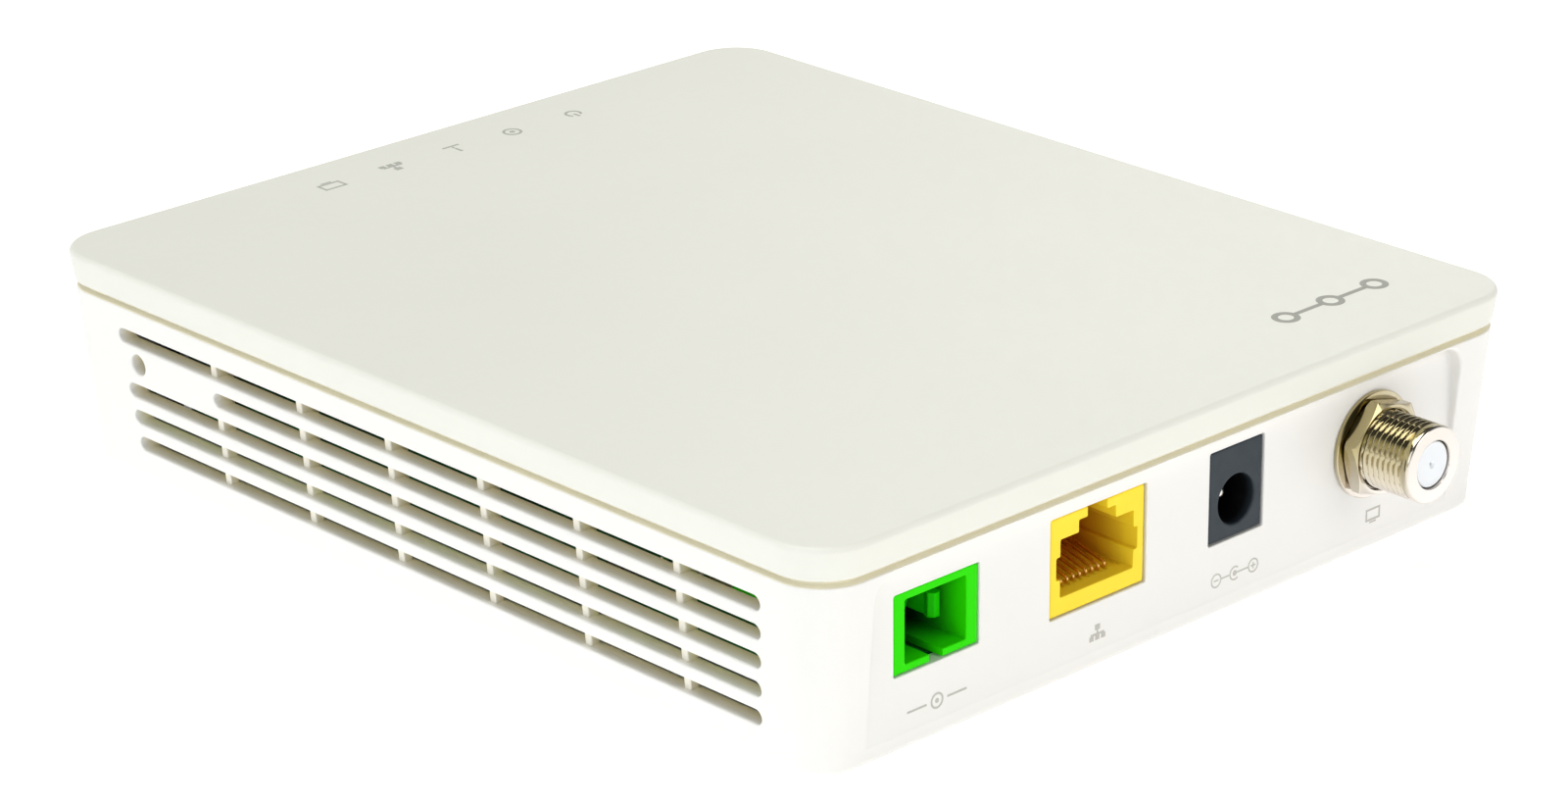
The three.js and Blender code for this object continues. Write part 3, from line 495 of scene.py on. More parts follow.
def depth_shaded_plastic(name, color, deep, face, half_width, shade_depths, roughness, specular):
    """Moulded plastic with painted shade: its colour darkens from the outer face towards the depth of its
    opening.
    """
    made = Paint(name, color, roughness, Specular_IOR_Level=specular)
    x, y = made.axis("X"), made.axis("Y")
    # Painted shade: within the opening's width, the colour turns to the deep one with depth.
    depth = made.span(y, face[1] + shade_depths[0], face[1] + shade_depths[1], 0, 1)
    aside = made.maths("ABSOLUTE", made.maths("SUBTRACT", x, face[0] * MM))
    within = made.span(aside, half_width, half_width + 0.3, 1, 0)
    made.tint(made.maths("MULTIPLY", depth, within), color, deep)
    made.mould_texture(580, 4600, 0.005)


def metal(name, color, roughness, brush=(1, 1, 1), spread=0.08):
    """Metal with drawn or turned marks along one direction and patchy polish."""
    made = Paint(name, color, roughness, 1.0)
    marks = made.noise(1500, 3, brush)
    patches = made.noise(240, 3)
    made.tint(made.ramp(patches, 0.3, 0.7, 0, 1), shade(color, 1 - spread), shade(color, 1 + spread * 0.5))
    made.gloss(patches, roughness * 0.75, roughness * 1.5)
    made.bump(marks, 0.002)


def plated(name):
    """Pale nickel with a painted reflection: a dim brassy tone towards the upper and left sides, as reflected
    from the dark room, weakened at the barrel's front end.
    """
    made = Paint(name, PALE_NICKEL, 0.13, 1.0)
    x, y, z = made.axis("X"), made.axis("Y"), made.axis("Z")
    # Painted reflection: the dim tone grows upwards and towards the left.
    height = made.span(z, COAX[2] - 4.5, COAX[2] + 3.0, 0, 0.85)
    side = made.span(x, COAX[0] - 6.0, COAX[0] + 3.0, 0.35, -0.1)
    # The painted reflection weakens over the last half millimetre at the barrel's front end.
    end = PANEL_Y + COAX_END
    end_fade = made.span(y, end, end + 0.5, 0.15, 1)
    reflection_mask = made.maths("ADD", height, side, clamp=True)
    made.tint(made.maths("MULTIPLY", reflection_mask, end_fade), PALE_NICKEL, DIM_REFLECTION_BRASS)
    made.gloss(made.noise(240, 3), 0.1, 0.2)
    made.bump(made.noise(900, 3, (1, 0.25, 1)), 0.0015)


def rubber(name, color):
    """Dull rubber with a coarse grain."""
    made = Paint(name, color, 0.85)
    made.tint(made.noise(900, 4), shade(color, 0.8), shade(color, 1.25))
    made.gloss(made.noise(2500, 2), 0.75, 0.95)
    made.bump(made.noise(7000, 3), 0.02)


def laminate(name, color):
    """A board's solder mask: woven glass under it and faint copper areas."""
    made = Paint(name, color, 0.38)
    weave = made.node("ShaderNodeTexChecker", {"Vector": made.place, "Scale": 1600}, "Fac")
    copper = made.ramp(made.noise(160, 1), 0.47, 0.53, 0, 1)
    made.tint(copper, shade(color, 0.7), shade(color, 1.3))
    made.gloss(made.noise(500, 2), 0.3, 0.45)
    made.bump(weave, 0.006)
    made.bump(copper, 0.02)


COVER_WHITE = (0.80, 0.80, 0.73)
BASE_WHITE = (0.86, 0.85, 0.82)
# Painted shade: the warm tints inside the vent slots and in the seam.
SLOT_SHADE_BEIGE, SEAM_SHADE_CREAM = (0.93, 0.84, 0.56), (0.98, 0.93, 0.75)
# The first colour is a painted reflection: the dim brassy tone of the socket's upper and left sides.
DIM_REFLECTION_BRASS, PALE_NICKEL = (0.44, 0.375, 0.20), (0.80, 0.75, 0.72)
INK_GREY, PALE_INK, COVER_INK = (0.36, 0.36, 0.32), (0.52, 0.51, 0.47), (0.42, 0.43, 0.39)

moulded("cover_plastic", COVER_WHITE, 0.46, spread=0.012)
case_plastic("base_plastic")
rubber("foot_rubber", (0.11, 0.11, 0.12))
metal("screw_steel", (0.56, 0.56, 0.54), 0.32)
moulded("label_film", (0.7, 0.7, 0.69), 0.55, 0.002, 0.03, 1800)
laminate("board_laminate", (0.03, 0.2, 0.07))
moulded("chip_epoxy", (0.022, 0.022, 0.025), 0.6, 0.01, 0.2, 3500)
metal("sink_aluminium", (0.62, 0.63, 0.65), 0.4, (1, 0.05, 1))
metal("capacitor_can", (0.52, 0.52, 0.53), 0.35, (1, 1, 0.1))
moulded("ferrite", (0.05, 0.05, 0.052), 0.7, 0.02, 0.25, 2600)
metal("tinplate", (0.66, 0.66, 0.66), 0.3, (0.1, 1, 1))
moulded("led_epoxy", (0.85, 0.82, 0.66), 0.22, 0.001, 0.04)
moulded("guide_acrylic", (0.9, 0.93, 0.95), 0.12, 0.001, 0.01, IOR=1.49, Transmission_Weight=0.75)
# The frame's cavity darkens to near-black green with painted shade.
depth_shaded_plastic("optical_green", (0.03, 0.76, 0.0), (0.001, 0.05, 0.013), OPTICAL, 4.9, (1.2, 8.0), 0.42, 0.05)
moulded("latch_green", (0.012, 0.56, 0.0), 0.42, 0.003, 0.03, Specular_IOR_Level=0.05)
moulded("zirconia", (0.86, 0.84, 0.8), 0.15, 0.001, 0.02)
metal("optical_metal", (0.62, 0.52, 0.3), 0.25)
metal("diode_metal", (0.68, 0.62, 0.48), 0.22)
# The jack's opening darkens to deep orange with painted shade.
depth_shaded_plastic("lan_yellow", (0.99, 0.75, 0.035), (0.60, 0.24, 0.004), LAN, 6.8, (1.5, 9.0), 0.38, 0.2)
metal("contact_gold", (0.78, 0.45, 0.14), 0.22, (1, 0.1, 1))
# The inlet's bore darkens to black with painted shade.
depth_shaded_plastic("inlet_plastic", (0.023, 0.034, 0.044), (0.002, 0.002, 0.003), POWER, 3.4, (0.1, 1.3), 0.5, 0.3)
metal("pin_nickel", (0.74, 0.72, 0.66), 0.14)
plated("coax_nickel")
moulded("dielectric", (0.84, 0.87, 0.90), 0.38, 0.002, 0.02)
moulded("switch_plastic", (0.024, 0.024, 0.028), 0.5, 0.006, 0.2)
for name, color in (("emblem_ink", INK_GREY), ("port_ink", PALE_INK), ("cover_ink", COVER_INK)):
    moulded(name, color, 0.6, 0.001, 0.06, 3000)

# ---------- Case ----------


def case_ring(z, offset):
    """The case's outline at a height, moved outwards by an offset."""
    outline = rounded_rectangle(
        CASE_WIDTH + 2 * offset, CASE_DEPTH + 2 * offset, CASE_CORNER + offset, (0, CASE_Y), CORNER_STEPS
    )
    return [(x, y, z) for x, y in outline]


def edge_rings(z, side, radius, offset_at):
    """(z, offset) pairs round a horizontal outer edge: side 1 for an upper edge at z, -1 for a lower one.
    They run from the wall to the face for an upper edge, and from the face to the wall for a lower one."""
    rings = []
    for depth, inset in edge_profile(radius, EDGE_STEPS):
        height = z - side * depth
        rings.append((height, offset_at(height) - inset))
    return rings[::-1] if side > 0 else rings


def wall_place(side):
    """Places (y, z, depth) on a drafted side wall."""
    return lambda u, v, d: (side * (CASE_WIDTH / 2 + base_offset(v) - d), u, v)


def far_wall(u, v, d):
    """Places (x, z, depth) on the wall opposite the sockets."""
    return (u, PORT_Y + CASE_DEPTH + base_offset(v) - d, v)


# The vents run between two distances from the socket side's edge, and each row is set in by a step.
VENTS = {"top": 20.4, "pitch": 3.58, "height": 1.9, "rows": 5, "near": 9.8, "far": 123.6, "step": 0.33}
VENT_SHORT_FAR, VENT_REACH, VENT_FLARE = 105.4, 5.2, 0.22
LEFT_SHORT_ROW, RIGHT_SHORT_ROW = 1, -1
BARS = {"first": 23.9, "pitch": 16.4, "count": 6, "width": 1.1, "setback": 0.9, "reach": 4.0}
RESET = {"y": 120.4, "z": 17.05, "radius": 1.35, "flare": 0.3, "reach": 3.4}


def vent_cutters(side, short_row):
    """One side's vents; the short row stops before the reset button's hole."""
    cutters = []
    for row in range(VENTS["rows"]):
        near = PORT_Y + VENTS["near"] + VENTS["step"] * row
        far = PORT_Y + (VENT_SHORT_FAR if row == short_row else VENTS["far"] - VENTS["step"] * row)
        centre = ((near + far) / 2, VENTS["top"] - VENTS["pitch"] * row)
        radius = VENTS["height"] / 2 - 0.02
        outline = rounded_rectangle(far - near, VENTS["height"], radius, centre, 6)
        cutters.append(flared(outline, wall_place(side), VENT_REACH, VENT_FLARE))
    return cutters


def vent_bars(side):
    """Upright bars across one side's vents, set back from the wall."""
    low = VENTS["top"] - VENTS["pitch"] * (VENTS["rows"] - 1) - VENTS["height"]
    high = VENTS["top"] + VENTS["height"]
    bars = []
    for i in range(BARS["count"]):
        y = PORT_Y + BARS["first"] + BARS["pitch"] * i
        rings = []
        for z in (low, high):
            front = CASE_WIDTH / 2 + base_offset(z) - BARS["setback"]
            back = CASE_WIDTH / 2 - BARS["reach"]
            outline = rounded_rectangle(front - back, BARS["width"], 0.2, ((front + back) / 2, y), 3)
            rings.append([(side * u, v, z) for u, v in outline])
        bars.append(skin("bar", rings))
    return bars


PANEL = {"left": -49.1, "right": 48.5, "lip": 0.5, "foot": 2.3, "corner": 3.0, "thickness": 1.9, "edge": 0.55}
PANEL_DEPTH = 2.0
# Stations of the fillet between the panel's side and its floor.
PANEL_FILLET = [(1.4, 0.0), (1.75, -0.12), (1.94, -0.32), (PANEL_DEPTH, -0.6)]


def panel_slab():
    """The wall behind the sunken socket panel, its front just inside the case's outer face."""
    setback, margin, foot, head = 0.6, 2, 1.0, 0.3
    x0, x1 = PANEL["left"] - margin, PANEL["right"] + margin
    rings = []
    for z in (UNDER_Z + foot, RIM_Z - head):
        corners = bar(x0, x1, PORT_Y - base_offset(z) + setback, PANEL_Y + PANEL["thickness"])
        rings.append([(x, y, z) for x, y in corners])
    return skin("slab", rings)


def panel_cutter():
    """Sinks the panel: rounded at its mouth, filleted at its floor, running out at the bottom."""
    left, right, top, low = PANEL["left"], PANEL["right"], RIM_Z - PANEL["lip"], UNDER_Z + PANEL["foot"]
    radius, edge = PANEL["corner"], PANEL["edge"]
    outline = [(left, low), (right, low), *arc((right - radius, top - radius), radius, 0, 90, 8)]
    outline += arc((left + radius, top - radius), radius, 90, 180, 8)
    profile = [(-CUTTER_LEAD, edge), *edge_profile(edge, 4), *PANEL_FILLET]

    def place(x, z, depth):
        surface = PORT_Y - base_offset(z)
        share = depth / PANEL_DEPTH
        return (x, surface + (PANEL_Y - surface) * share if share > 0 else surface + depth, z)

    return swept("cutter", outline, place, profile)


# Each socket's place, its opening's width and height, and where the opening's middle is from the place.
SOCKET_HOLES = [(OPTICAL, 13.2, 9.7, 0, 0), (LAN, 15.75, 12.15, 0.075, 5.075), (POWER, 9.4, 11.55, 0, 5.675)]
COAX_HOLE_R, HOLE_CORNER, HOLE_FLARE, HOLE_REACH = 4.95, 0.3, 0.15, 4.0


def socket_cutters():
    outlines = [
        rounded_rectangle(width, height, HOLE_CORNER, (at[0] + aside, at[2] + up))
        for at, width, height, aside, up in SOCKET_HOLES
    ]
    outlines.append(circle(COAX_HOLE_R, (COAX[0], COAX[2])))
    return [flared(outline, on_y((0, PANEL_Y, 0)), HOLE_REACH, HOLE_FLARE) for outline in outlines]


def places(stem, count):
    """The (x, y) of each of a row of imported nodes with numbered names."""
    return [(middle(f"{stem}_{i}", 0), middle(f"{stem}_{i}", 1)) for i in range(1, count + 1)]


FEET, CASE_SCREWS, BOARD_SCREWS = places("foot", 4), places("case_screw", 2), places("board_screw", 3)
LED_X = [x for x, _ in places("led", 5)]
# Sizes of rounded openings are (width, height, corner radius).
WINDOW = {"size": (3.2, 1.6, 0.35), "z": 20.3, "flare": 0.12, "reach": 4.0}
AIR_SLOTS = {"size": (40, 2.0, 0.95), "pitch": 5, "rows": 5, "fields": (-32, 36)}
KEYHOLES = {"x": (-32, 32), "y": 30, "head": 3.6, "neck": 1.9, "rise": 7.2}
HOOKS = {"x": (-26, 0.5, 21.5), "half": 3, "low": 17.9, "toe": 19.5, "thickness": 1.3}
FOOT_R, SCREW_WELL_R, SCREW_WELL_DEPTH = 5.0, 3.1, 2.6
POST_R, POST_TOP, POST_BORE_R = 3.3, BOARD_TOP_Z - 1.65, 1.4
BOSS = {"radius": 4.0, "top": 11, "bore": 1.5}
TOWER = {"radius": 3.4, "foot": 11.2, "bore": 1.3}
THROUGH = FLOOR + 1.0
LABEL = (middle("rating_label", 0), middle("rating_label", 1))
LABEL_POCKET, LABEL_FILM, LABEL_POCKET_DEPTH = (64, 30, 2), (63, 29, 1.7), 0.35


def underside_cutters():
    """Air slots, keyholes, the label's pocket, the feet's seats and the screws' wells."""
    cutters = []
    for y in AIR_SLOTS["fields"]:
        for i in range(AIR_SLOTS["rows"]):
            centre = (0, CASE_Y + y + (i - 2) * AIR_SLOTS["pitch"])
            cutters.append(flared(rounded_rectangle(*AIR_SLOTS["size"], centre), below, THROUGH))
    for x in KEYHOLES["x"]:
        outline = arc((x, KEYHOLES["y"]), KEYHOLES["head"], 148, 392, 24)
        outline += arc((x, KEYHOLES["y"] + KEYHOLES["rise"]), KEYHOLES["neck"], 0, 180, 10)
        cutters.append(flared(outline, below, THROUGH))
    cutters.append(flared(rounded_rectangle(*LABEL_POCKET, LABEL), below, LABEL_POCKET_DEPTH, 0.12))
    cutters += [flared(circle(FOOT_R + CLEAR, foot), below, 0.5, 0.15) for foot in FEET]
    cutters += [flared(circle(SCREW_WELL_R, at), below, SCREW_WELL_DEPTH, 0.25) for at in CASE_SCREWS]
    return cutters


def hook_pockets():
    """Pockets behind the panel, which the cover's hooks snap into."""
    half, low, high = HOOKS["half"] + 0.3, HOOKS["low"] - 0.2, HOOKS["toe"] + 0.3
    return [block(x - half, x + half, PANEL_Y + 1, PORT_Y + 5, low, high) for x in HOOKS["x"]]


def window_cutters():
    """The indicator windows in the far wall."""
    outlines = [rounded_rectangle(*WINDOW["size"], (x, WINDOW["z"])) for x in LED_X]
    return [flared(outline, far_wall, WINDOW["reach"], WINDOW["flare"]) for outline in outlines]


def base_shell():
    rings = edge_rings(UNDER_Z, -1, BASE_EDGE, base_offset)
    rings += edge_rings(RIM_Z, 1, RIM_EDGE, base_offset)
    tongue_z = RIM_Z + TONGUE_HEIGHT
    rings += [(RIM_Z, -TONGUE_SETBACK), (tongue_z, -TONGUE_SETBACK), (tongue_z, -WALL)]
    rings += [(RIM_Z, -WALL), (UNDER_Z + FLOOR, base_offset(UNDER_Z + FLOOR) - WALL)]
    shell = skin("case_base", [case_ring(z, offset) for z, offset in rings])
    boolean(shell, [merged(vent_cutters(-1, LEFT_SHORT_ROW) + vent_cutters(1, RIGHT_SHORT_ROW))])
    posts = [rod_z(POST_R, UNDER_Z + 1, POST_TOP, x, y) for x, y in BOARD_SCREWS]
    bosses = [rod_z(BOSS["radius"], UNDER_Z + 1, UNDER_Z + BOSS["top"], x, y) for x, y in CASE_SCREWS]
    boolean(shell, [panel_slab(), merged(vent_bars(-1) + vent_bars(1) + posts + bosses)], "UNION")
    boolean(shell, [panel_cutter()])
    pin_hole = circle(RESET["radius"], (PORT_Y + RESET["y"], RESET["z"]), 36)
    pin_hole = flared(pin_hole, wall_place(-1), RESET["reach"], RESET["flare"])
    cutters = socket_cutters() + hook_pockets() + [pin_hole] + window_cutters()
    boolean(shell, [merged(cutters), merged(underside_cutters())])
    bores = [rod_z(POST_BORE_R, UNDER_Z + FLOOR, 12, x, y) for x, y in BOARD_SCREWS]
    bores += [rod_z(BOSS["bore"], UNDER_Z + 2.0, UNDER_Z + 13, x, y) for x, y in CASE_SCREWS]
    return boolean(shell, [merged(bores)])


def cover_hook(x):
    """A flat stem behind the panel with a toe towards it."""
    back, half = PANEL_Y + PANEL["thickness"] + CLEAR, HOOKS["half"]
    stem = block(x - half, x + half, back, back + HOOKS["thickness"], HOOKS["low"], TOP_Z - 1)
    toe = block(x - half, x + half, back - 0.8, back + 0.5, HOOKS["low"], HOOKS["toe"])
    return boolean(stem, [toe], "UNION")


def top_cover():
    skirt, step_z = -TONGUE_SETBACK + CLEAR, RIM_Z + TONGUE_HEIGHT + CLEAR
    rings = [(TOP_Z - CEILING, -WALL), (step_z, -WALL), (step_z, skirt), (COVER_LOW_Z, skirt)]
    rings += edge_rings(COVER_LOW_Z, -1, RIM_EDGE, cover_offset)
    rings += edge_rings(TOP_Z, 1, COVER_EDGE, cover_offset)
    cover = skin("case_cover", [case_ring(z, offset) for z, offset in rings])
    hooks = [cover_hook(x) for x in HOOKS["x"]]
    towers = [rod_z(TOWER["radius"], UNDER_Z + TOWER["foot"], TOP_Z - 1, x, y) for x, y in CASE_SCREWS]
    boolean(cover, [merged(hooks + towers)], "UNION")
    return boolean(cover, [merged([rod_z(TOWER["bore"], UNDER_Z + 10, 25, x, y) for x, y in CASE_SCREWS])])


finish_piece(base_shell(), "case_base", "base_plastic", "base_shell")
finish_piece(top_cover(), "case_cover", "cover_plastic", "top_cover")

# ---------- Feet, screws and label ----------

SCREW = {"turns": 14, "root": 0.95, "crest": 1.15, "recess": 0.9}


def foot(x, y):
    """A round foot with a shallow dish under it."""
    top = box_mm("foot_1")[1][2]
    bottom = [(FOOT_R - 1.9, 0.18), (FOOT_R - 1.5, 0.02), (FOOT_R - 1.3, 0.0), (FOOT_R - 0.7, 0.0)]
    side = [(FOOT_R - inset, depth) for depth, inset in edge_profile(0.6, 5)][1:]
    return turned_z("foot", bottom + side + [(FOOT_R, top - 0.1), (FOOT_R - 0.1, top)], x, y)


def cross_screw(x, y, face, shank_top):
    """A pan-head screw seen from below: domed head with a cross recess, then a threaded shank."""
    head = [(1.5, 0.02), (2.2, 0.12), (2.55, 0.4), (2.7, 0.8), (2.7, 1.55), (2.6, 1.6), (1.0, 1.6)]
    profile = [(radius, face + height) for radius, height in head]
    for i in range(SCREW["turns"]):
        z = face + 2.0 + (shank_top - face - 2.6) * i / SCREW["turns"]
        profile += [(SCREW["root"], z), (SCREW["crest"], z + 0.4), (SCREW["crest"], z + 0.5)]
    profile += [(0.9, shank_top - 0.4), (0.4, shank_top)]
    body = turned_z("screw", profile, x, y)
    arms = [(1.55, 0.34), (0.34, 1.55)]
    recess = [block(-a, a, -b, b, -1, SCREW["recess"], (x, y, face)) for a, b in arms]
    return boolean(body, recess)


for number, (x, y) in enumerate(FEET, 1):
    finish_piece(foot(x, y), f"rubber_foot_{number}", "foot_rubber", f"foot_{number}")
for number, (x, y) in enumerate(CASE_SCREWS, 1):
    low, high = box_mm(f"case_screw_{number}")
    screw = cross_screw(x, y, low[2], high[2])
    finish_piece(screw, f"cover_screw_{number}", "screw_steel", f"case_screw_{number}")


def blank_label():
    """A thin film in the underside's pocket."""
    low, high = box_mm("rating_label")
    outline = rounded_rectangle(*LABEL_FILM, LABEL)
    return prism("label", outline, lambda u, v, d: (u, v, low[2] + d), 0, high[2] - low[2], 0.06, 0.04)


finish_piece(blank_label(), "blank_label", "label_film", "rating_label")

# ---------- Optical receptacle ----------

OPTICAL_DEPTH = 25.4
CAVITY, CAVITY_DEPTH, STUB_BORE_R = (9.4, 7.6, 0.25), 15.9, 2.7
SLEEVE = {"outer": 2.15, "inner": 1.7, "front": 6.4}
ARM_SIDE = [(2.6, 14.6), (2.6, 4.4), (2.1, 3.4), (2.6, 2.8), (3.5, 2.8), (3.7, 14.6)]
ARM_LAYERS = [(-1.45, -0.1), (-1.35, 0), (1.35, 0), (1.45, -0.1)]


def optical_housing():
    """A square frame with two side ears, a deep cavity, a bore behind it and a key slot below."""
    place = on_y(OPTICAL)
    housing = prism("optical", rounded_rectangle(12.9, 9.4, 0.25), place, 0, OPTICAL_DEPTH, 0.16)
    boolean(housing, [block(-7.45, 7.45, 6, 9, -4.7, -1, OPTICAL)], "UNION")
    boolean(housing, [flared(rounded_rectangle(*CAVITY), place, CAVITY_DEPTH, 0.14)])
    bore = rod_y(STUB_BORE_R, 10, OPTICAL_DEPTH + 1, OPTICAL, 48)
    key = block(-1.05, 1.05, -1, 13, -5.7, -3, OPTICAL)
    return boolean(housing, [bore, key])


def latch_arm(side):
    """A hooked arm beside the sleeve."""
    x, y, z = OPTICAL
    outline = filleted([(side * u, v) for u, v in ARM_SIDE], 0.25, 2)
    if side > 0:
        outline.reverse()
    return swept("arm", outline, lambda u, v, h: (x + u, y + v, z + h), ARM_LAYERS)


def latch_insert():
    """The plate at the cavity's end, its two arms and the tube that holds the sleeve."""
    plate = block(-4.6, 4.6, 14.2, 15.7, -3.7, 3.7, OPTICAL)
    outer, front = SLEEVE["outer"], SLEEVE["front"]
    tube = turned("tube", [(outer - 0.1, front), (outer, front + 0.1), (outer, 15)], OPTICAL, 40, False)
    boolean(plate, [latch_arm(-1), latch_arm(1), tube], "UNION")
    return boolean(plate, [rod_y(SLEEVE["inner"], 0, 20, OPTICAL, 40)])


finish_piece(optical_housing(), "optical_frame", "optical_green", "optical_receptacle")
finish_piece(latch_insert(), "optical_latches", "latch_green", "latch_insert")

# ---------- Network jack ----------

LAN_SIDE, LAN_TOP, LAN_DEPTH, LAN_CAVITY, LAN_FLUSH = 7.65, 11.0, 16, 12.7, 0.3
# Half of the opening, from its floor: plug body, side grooves, latch step and latch slot.
LAN_HALF = [
    (5.95, 1.3), (5.95, 3.5), (6.6, 3.5), (6.6, 6.2), (5.95, 6.2), (5.95, 8.3),
    (3.0, 8.3), (3.0, 9.8), (1.6, 9.8), (1.6, LAN_TOP + 1),
]
COMB = {"half": 5.45, "front": 1.55, "back": 12.6, "wall": 11.1, "slot": 0.3}
WIRE = {"radius": 0.2, "bend": 0.35, "root": (2.25, 1.75), "slope": 0.26}
WIRE_RISE = (0.7, 1.5, 3.0, 4.5, 6.0, 7.5)
WIRE_COUNT, WIRE_PITCH = 8, 1.02
WIRE_X = [LAN[0] + (i - (WIRE_COUNT - 1) / 2) * WIRE_PITCH for i in range(WIRE_COUNT)]


def lan_housing():
    """The jack's housing, its front moved forward after the booleans to lie almost flush with the panel."""
    place, side = on_y(LAN), LAN_SIDE
    housing = prism("lan", filleted(bar(-side, side, 0.05, LAN_TOP), 0.25), place, 0, LAN_DEPTH, 0.22)
    lip = prism("lip", filleted(bar(-side, side, -0.85, 1), 0.25), place, 0, 1.8, 0.22)
    boolean(housing, [lip], "UNION")
    outline = filleted(LAN_HALF + [(-u, v) for u, v in reversed(LAN_HALF)], 0.2, 2)
    boolean(housing, [flared(outline, place, LAN_CAVITY, 0.1)])
    boolean(housing, [block(-5.55, 5.55, 1.45, LAN_CAVITY, 0.4, 2, LAN)])
    for vertex in housing.data.vertices:
        if vertex.co.y < LAN[1] + 2 * LAN_FLUSH:
            vertex.co.y -= LAN_FLUSH
    return housing


def contact_comb():
    """The floor and back wall that carry the contacts, with a slot for each at the front."""
    half, back, slot = COMB["half"], COMB["back"], COMB["slot"]
    comb = block(-half, half, COMB["front"], back, 0.45, 1.3, LAN)
    boolean(comb, [block(-half, half, COMB["wall"], back, 0.6, 8.1, LAN)], "UNION")
    slots = [block(-slot, slot, 1, 3.2, 1.1, 2, (x, *LAN[1:])) for x in WIRE_X]
    boolean(comb, [merged(slots)])
    return bevel(comb, 0.06, 40)


def spring_wire(x):
    """A round wire that curls up out of the comb at the front and rises towards the back."""
    root = LAN[1] + WIRE["root"][0], LAN[2] + WIRE["root"][1]
    path = arc(root, WIRE["bend"], -100, -255, 10)
    start = path[-1]
    path += [(start[0] + along, start[1] + along * WIRE["slope"]) for along in WIRE_RISE]
    section = circle(WIRE["radius"], (0, 0), 12)
    rings = []
    for k, here in enumerate(path):
        before, after = path[max(k - 1, 0)], path[min(k + 1, len(path) - 1)]
        along = Vector((after[0] - before[0], after[1] - before[1])).normalized()
        up = Vector((-along.y, along.x))
        rings.append([(x + a, here[0] + up.x * b, here[1] + up.y * b) for a, b in section])
    return skin("wire", rings)


finish_piece(lan_housing(), "lan_housing", "lan_yellow", "lan_jack")
finish_piece(contact_comb(), "lan_comb", "lan_yellow", "lan_contact_comb")
for i, x in enumerate(WIRE_X, 1):
    finish_piece(spring_wire(x), f"spring_wire_{i}", "contact_gold", f"lan_contact_{i}", "lan_contacts", 60)

# ---------- Power inlet ----------

INLET = {"side": 4.55, "top": 11.3, "depth": 13.6}
BORE = {"radius": 3.05, "x": 0.2, "z": 4.5, "depth": 11.2, "flare": 0.28}
BORE_AXIS = (POWER[0] + BORE["x"], POWER[1], POWER[2] + BORE["z"])
PIN_R, PIN_TIP, PIN_STEPS = 1.0, 2.2, 12
PIN_END = box_mm("power_pin")[1][1] - POWER[1]
LEAF_HALF, LEAF_TRACK = 1.2, 1.45
LEAF_SIDE = [
    (13.4, 0.8), (13.4, 1.1), (8.2, 1.65), (6.9, 1.95), (5.6, 1.55), (5.6, 1.25), (6.9, 1.65), (8.2, 1.35),
]


def power_housing():
    """A block with a round bore for the plug, a small one for the pin and a track for the leaf."""
    place, side = on_y(POWER), INLET["side"]
    outline = filleted(bar(-side, side, 0.05, INLET["top"]), 0.3)
    housing = prism("power", outline, place, 0, INLET["depth"], 0.25)
    bore = flared(circle(BORE["radius"], (BORE["x"], BORE["z"])), place, BORE["depth"], BORE["flare"])
    pin_bore = rod_y(PIN_R + CLEAR, 10, 15, BORE_AXIS)
    track = block(-LEAF_TRACK, LEAF_TRACK, 4.4, 14.6, 0.5, 2.2, (BORE_AXIS[0], *POWER[1:]))
    return boolean(housing, [bore, pin_bore, track])


def power_pin():
    """A round pin with a domed tip."""
    angles = [math.radians(90 * k / PIN_STEPS) for k in range(1, PIN_STEPS + 1)]
    dome = [(PIN_R * math.sin(a), PIN_TIP + PIN_R * (1 - math.cos(a))) for a in angles]
    return turned("pin", dome + [(PIN_R, PIN_END - 0.1), (PIN_R - 0.1, PIN_END)], BORE_AXIS, 40, False)


def power_leaf():
    """A spring leaf that rises into the bore."""
    x, y, z = BORE_AXIS[0], POWER[1], POWER[2]
    sides = [(-LEAF_HALF, 0), (LEAF_HALF, 0)]
    return swept("leaf", filleted(LEAF_SIDE, 0.12, 2), lambda u, v, w: (x + w, y + u, z + v), sides)


finish_piece(power_housing(), "power_housing", "inlet_plastic", "power_jack")
finish_piece(power_pin(), "power_centre_pin", "pin_nickel", "power_pin", angle=50)
finish_piece(power_leaf(), "power_leaf_spring", "contact_gold", "power_spring_contact", "power_contact")

# ---------- Coaxial socket ----------

THREAD = {"crest": 4.75, "root": 4.32, "pitch": 0.79, "turns": 9, "steps": 96, "rows": 12}
THREAD_START = COAX_END + 0.95
THREAD_FADE, HALF_GROOVE, ROOT_FLAT = 0.35, 0.42, 1.15
FACE_R, BORE_R, BARREL_END = 4.4, 2.95, 3.0
NUT = {"across": 11, "front": -2.75, "back": -0.75, "turn": -15}


def thread_radius(y, angle):
    """The radius of a 60-degree thread with small flats, fading out at both ends."""
    end = THREAD_START + THREAD["turns"] * THREAD["pitch"]
    phase = ((y - COAX_END) / THREAD["pitch"] - angle / (2 * math.pi)) % 1
    groove = max(0.0, 1 - abs(phase - 0.5) / HALF_GROOVE) * ROOT_FLAT
    fade = min(1.0, max(0.0, (y - THREAD_START) / THREAD_FADE), max(0.0, (end - y) / THREAD_FADE))
    return THREAD["crest"] - (THREAD["crest"] - THREAD["root"]) * min(1.0, groove) * fade


def coax_ring(y, radius=None):
    """A ring round the socket's axis, with the thread's radius unless another is given."""
    ring = []
    for i in range(THREAD["steps"]):
        a = 2 * math.pi * i / THREAD["steps"]
        r = radius or thread_radius(y, a)
        ring.append((COAX[0] + r * math.cos(a), COAX[1] + y, COAX[2] + r * math.sin(a)))
    return ring


